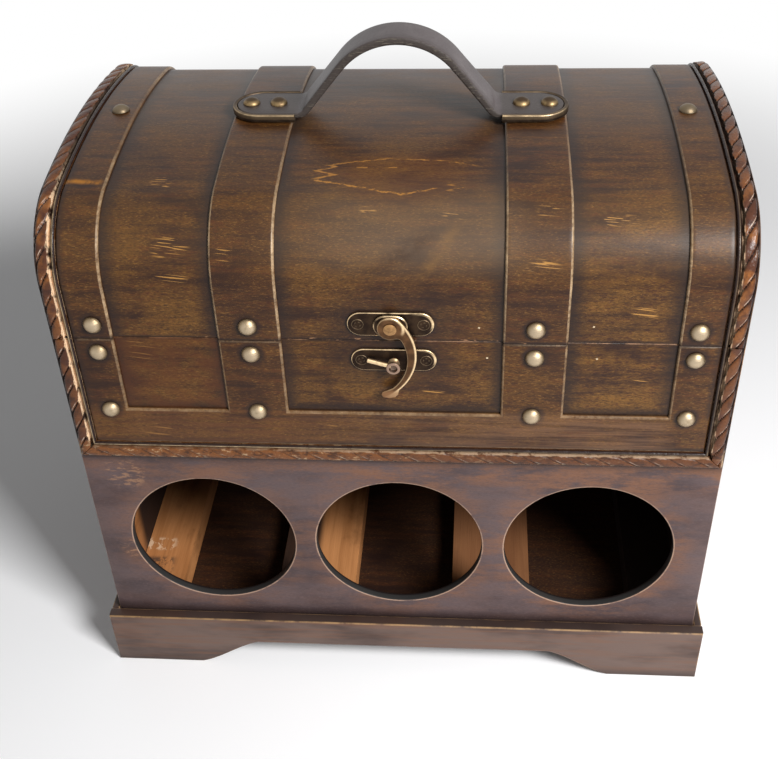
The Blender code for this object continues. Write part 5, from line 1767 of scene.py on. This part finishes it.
hinge_finish = finish("old brass hinge", hinge_paint, metal=1.0)
hinge_half = HINGE_WIDTH / 2
for side, word in ((-1, "left"), (1, "right")):
    for body, direction in (("case", -1), ("lid", 1)):
        node = f"hinge_{body}_leaf_{word}"
        low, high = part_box(node)
        middle = (low.x + high.x) / 2
        barrel_y = low.y + BARREL_RADIUS
        face_y = low.y + LEAF_THICKNESS
        far = low.z if direction < 0 else high.z
        edge = JOINT_HEIGHT + direction * (BARREL_RADIUS * PIN_SHARE)
        cut = JOINT_HEIGHT + direction * BARREL_RADIUS + direction * KNUCKLE_GAP
        if direction < 0:
            inner = KNUCKLE_WIDTH / 2 + KNUCKLE_GAP
            right_side = [(hinge_half, far), (hinge_half, edge), (inner, edge), (inner, cut)]
            spans = [(-hinge_half, -inner), (inner, hinge_half)]
        else:
            inner = KNUCKLE_WIDTH / 2
            right_side = [(inner, edge), (inner, cut), (hinge_half, cut), (hinge_half, far)]
            spans = [(-inner, inner)]
        left_side = [(middle - a, b) for a, b in reversed(right_side)]
        outline = [left_side[-1], *[(middle + a, b) for a, b in right_side], *left_side[:-1]]
        leaf = cut_sheet("leaf", [outline], facing_front, low.y, face_y, LEAF_THICKNESS * 0.3, 3)
        leaf.materials.append(hinge_finish)
        meshes = [leaf] + [knuckle(middle + a, middle + b, BARREL_RADIUS, barrel_y) for a, b in spans]
        if direction < 0:
            meshes.append(knuckle(low.x, high.x, BARREL_RADIUS * PIN_SHARE, barrel_y))
        fit(join(node + "_brass", meshes), body, "hinge_brass", node)
        height = JOINT_HEIGHT + direction * LEAF_SCREW_RISE
        places = [((middle + off * LEAF_SCREW_SPACING, face_y, height), BACKWARD) for off in (-1, 0, 1)]
        small = screw_head()
        small.data.transform(Matrix.Scale(LEAF_SCREW_SCALE, 4))
        screws = drive(node + "_screws", places, small, 0.0, LEAF_SCREW_SEED + side, screw_finish)
        fit(screws, body, "hinge_brass")

# Studio. A pale floor and a white surround, lit softly from above on the right.
AMBIENT = 0.15
FLOOR_REACH = 3.0
FLOOR_LIFT = 0.03
FADE_START = 0.48
FADE_END = 0.95
FLOOR_WHITE = (0.97, 0.97, 0.98)
WHITE = (1.0, 1.0, 1.0)
LAMP_PLACE = (0.60, -0.70, 0.88)
LAMP_AIM = (0.0, 0.0, 0.15)
LAMP_SIZE = 0.36
LAMP_POWER = 19.5


def seen_directly(recipe):
    """1 for the camera and for what metal and glass mirror."""
    camera_ray = recipe.node("ShaderNodeLightPath", output="Is Camera Ray")
    return camera_ray.most(camera_ray.other("Is Glossy Ray")).most(camera_ray.other("Is Transmission Ray"))


floor_material = bpy.data.materials.new("pale table")
floor_material.use_nodes = True
floor_recipe = Recipe(floor_material.node_tree)
plain = floor_material.node_tree.nodes["Principled BSDF"]
plain.inputs["Base Color"].default_value = (*FLOOR_WHITE, 1)
plain.inputs["Roughness"].default_value = 0.6
point, x, y, z = floor_recipe.place()
faded = away(x, y).rise(FADE_START, FADE_END) + FLOOR_LIFT
lifted = seen_directly(floor_recipe) * faded.least(1.0)
glow = floor_recipe.node("ShaderNodeEmission", sockets={"Color": WHITE, "Strength": 1.0})
matt = Value(floor_recipe, plain.outputs[0])
mixed = floor_recipe.node("ShaderNodeMixShader", sockets={0: lifted, 1: matt, 2: glow})
floor_end = floor_material.node_tree.nodes["Material Output"]
floor_material.node_tree.links.new(mixed.socket, floor_end.inputs["Surface"])
floor_mesh = bpy.data.meshes.new("table")
corners = rectangle(-FLOOR_REACH, FLOOR_REACH, -FLOOR_REACH, FLOOR_REACH)
floor_mesh.from_pydata([(x, y, 0) for x, y in corners], [], [(0, 1, 2, 3)])
floor = new_piece("table", floor_mesh, floor_material)

surround = bpy.data.worlds.new("white surround")
bpy.context.scene.world = surround
surround.use_nodes = True
sky = Recipe(surround.node_tree)
dim = sky.node("ShaderNodeBackground", sockets={"Color": WHITE, "Strength": AMBIENT})
white = sky.node("ShaderNodeBackground", sockets={"Color": WHITE, "Strength": 1.0})
shown = sky.node("ShaderNodeMixShader", sockets={0: seen_directly(sky), 1: dim, 2: white})
surround.node_tree.links.new(shown.socket, surround.node_tree.nodes["World Output"].inputs["Surface"])

lamp = bpy.data.lights.new("window", "AREA")
lamp.size = LAMP_SIZE
lamp.energy = LAMP_POWER
light = bpy.data.objects.new("window", lamp)
bpy.context.scene.collection.objects.link(light)
aim = Vector(LAMP_AIM) - Vector(LAMP_PLACE)
light.matrix_world = Matrix.Translation(LAMP_PLACE) @ aim.to_track_quat("-Z", "Y").to_matrix().to_4x4()

# Camera. A hand-held view from above the front edge, a little to the right.
CAMERA_PLACE = (0.03904, -0.54522, 0.55727)
PITCH = radians(-37.721)
ROLL = radians(2.299)
YAW = radians(5.217)
FILM_WIDTH = 36.0
PICTURE_WIDTH = 778
FOCAL_PIXELS = 1169.19
eye = bpy.data.cameras.new("eye")
eye.sensor_width = FILM_WIDTH
eye.lens = FOCAL_PIXELS * FILM_WIDTH / PICTURE_WIDTH
camera = bpy.data.objects.new("eye", eye)
bpy.context.scene.collection.objects.link(camera)
aim = Matrix.Rotation(YAW, 3, "Z") @ Matrix.Rotation(PITCH, 3, "X") @ Matrix.Rotation(ROLL, 3, "Y")
camera.matrix_world = Matrix.Translation(CAMERA_PLACE) @ (aim @ Matrix.Rotation(pi / 2, 3, "X")).to_4x4()
bpy.context.scene.camera = camera
bpy.context.scene.view_settings.view_transform = "Standard"
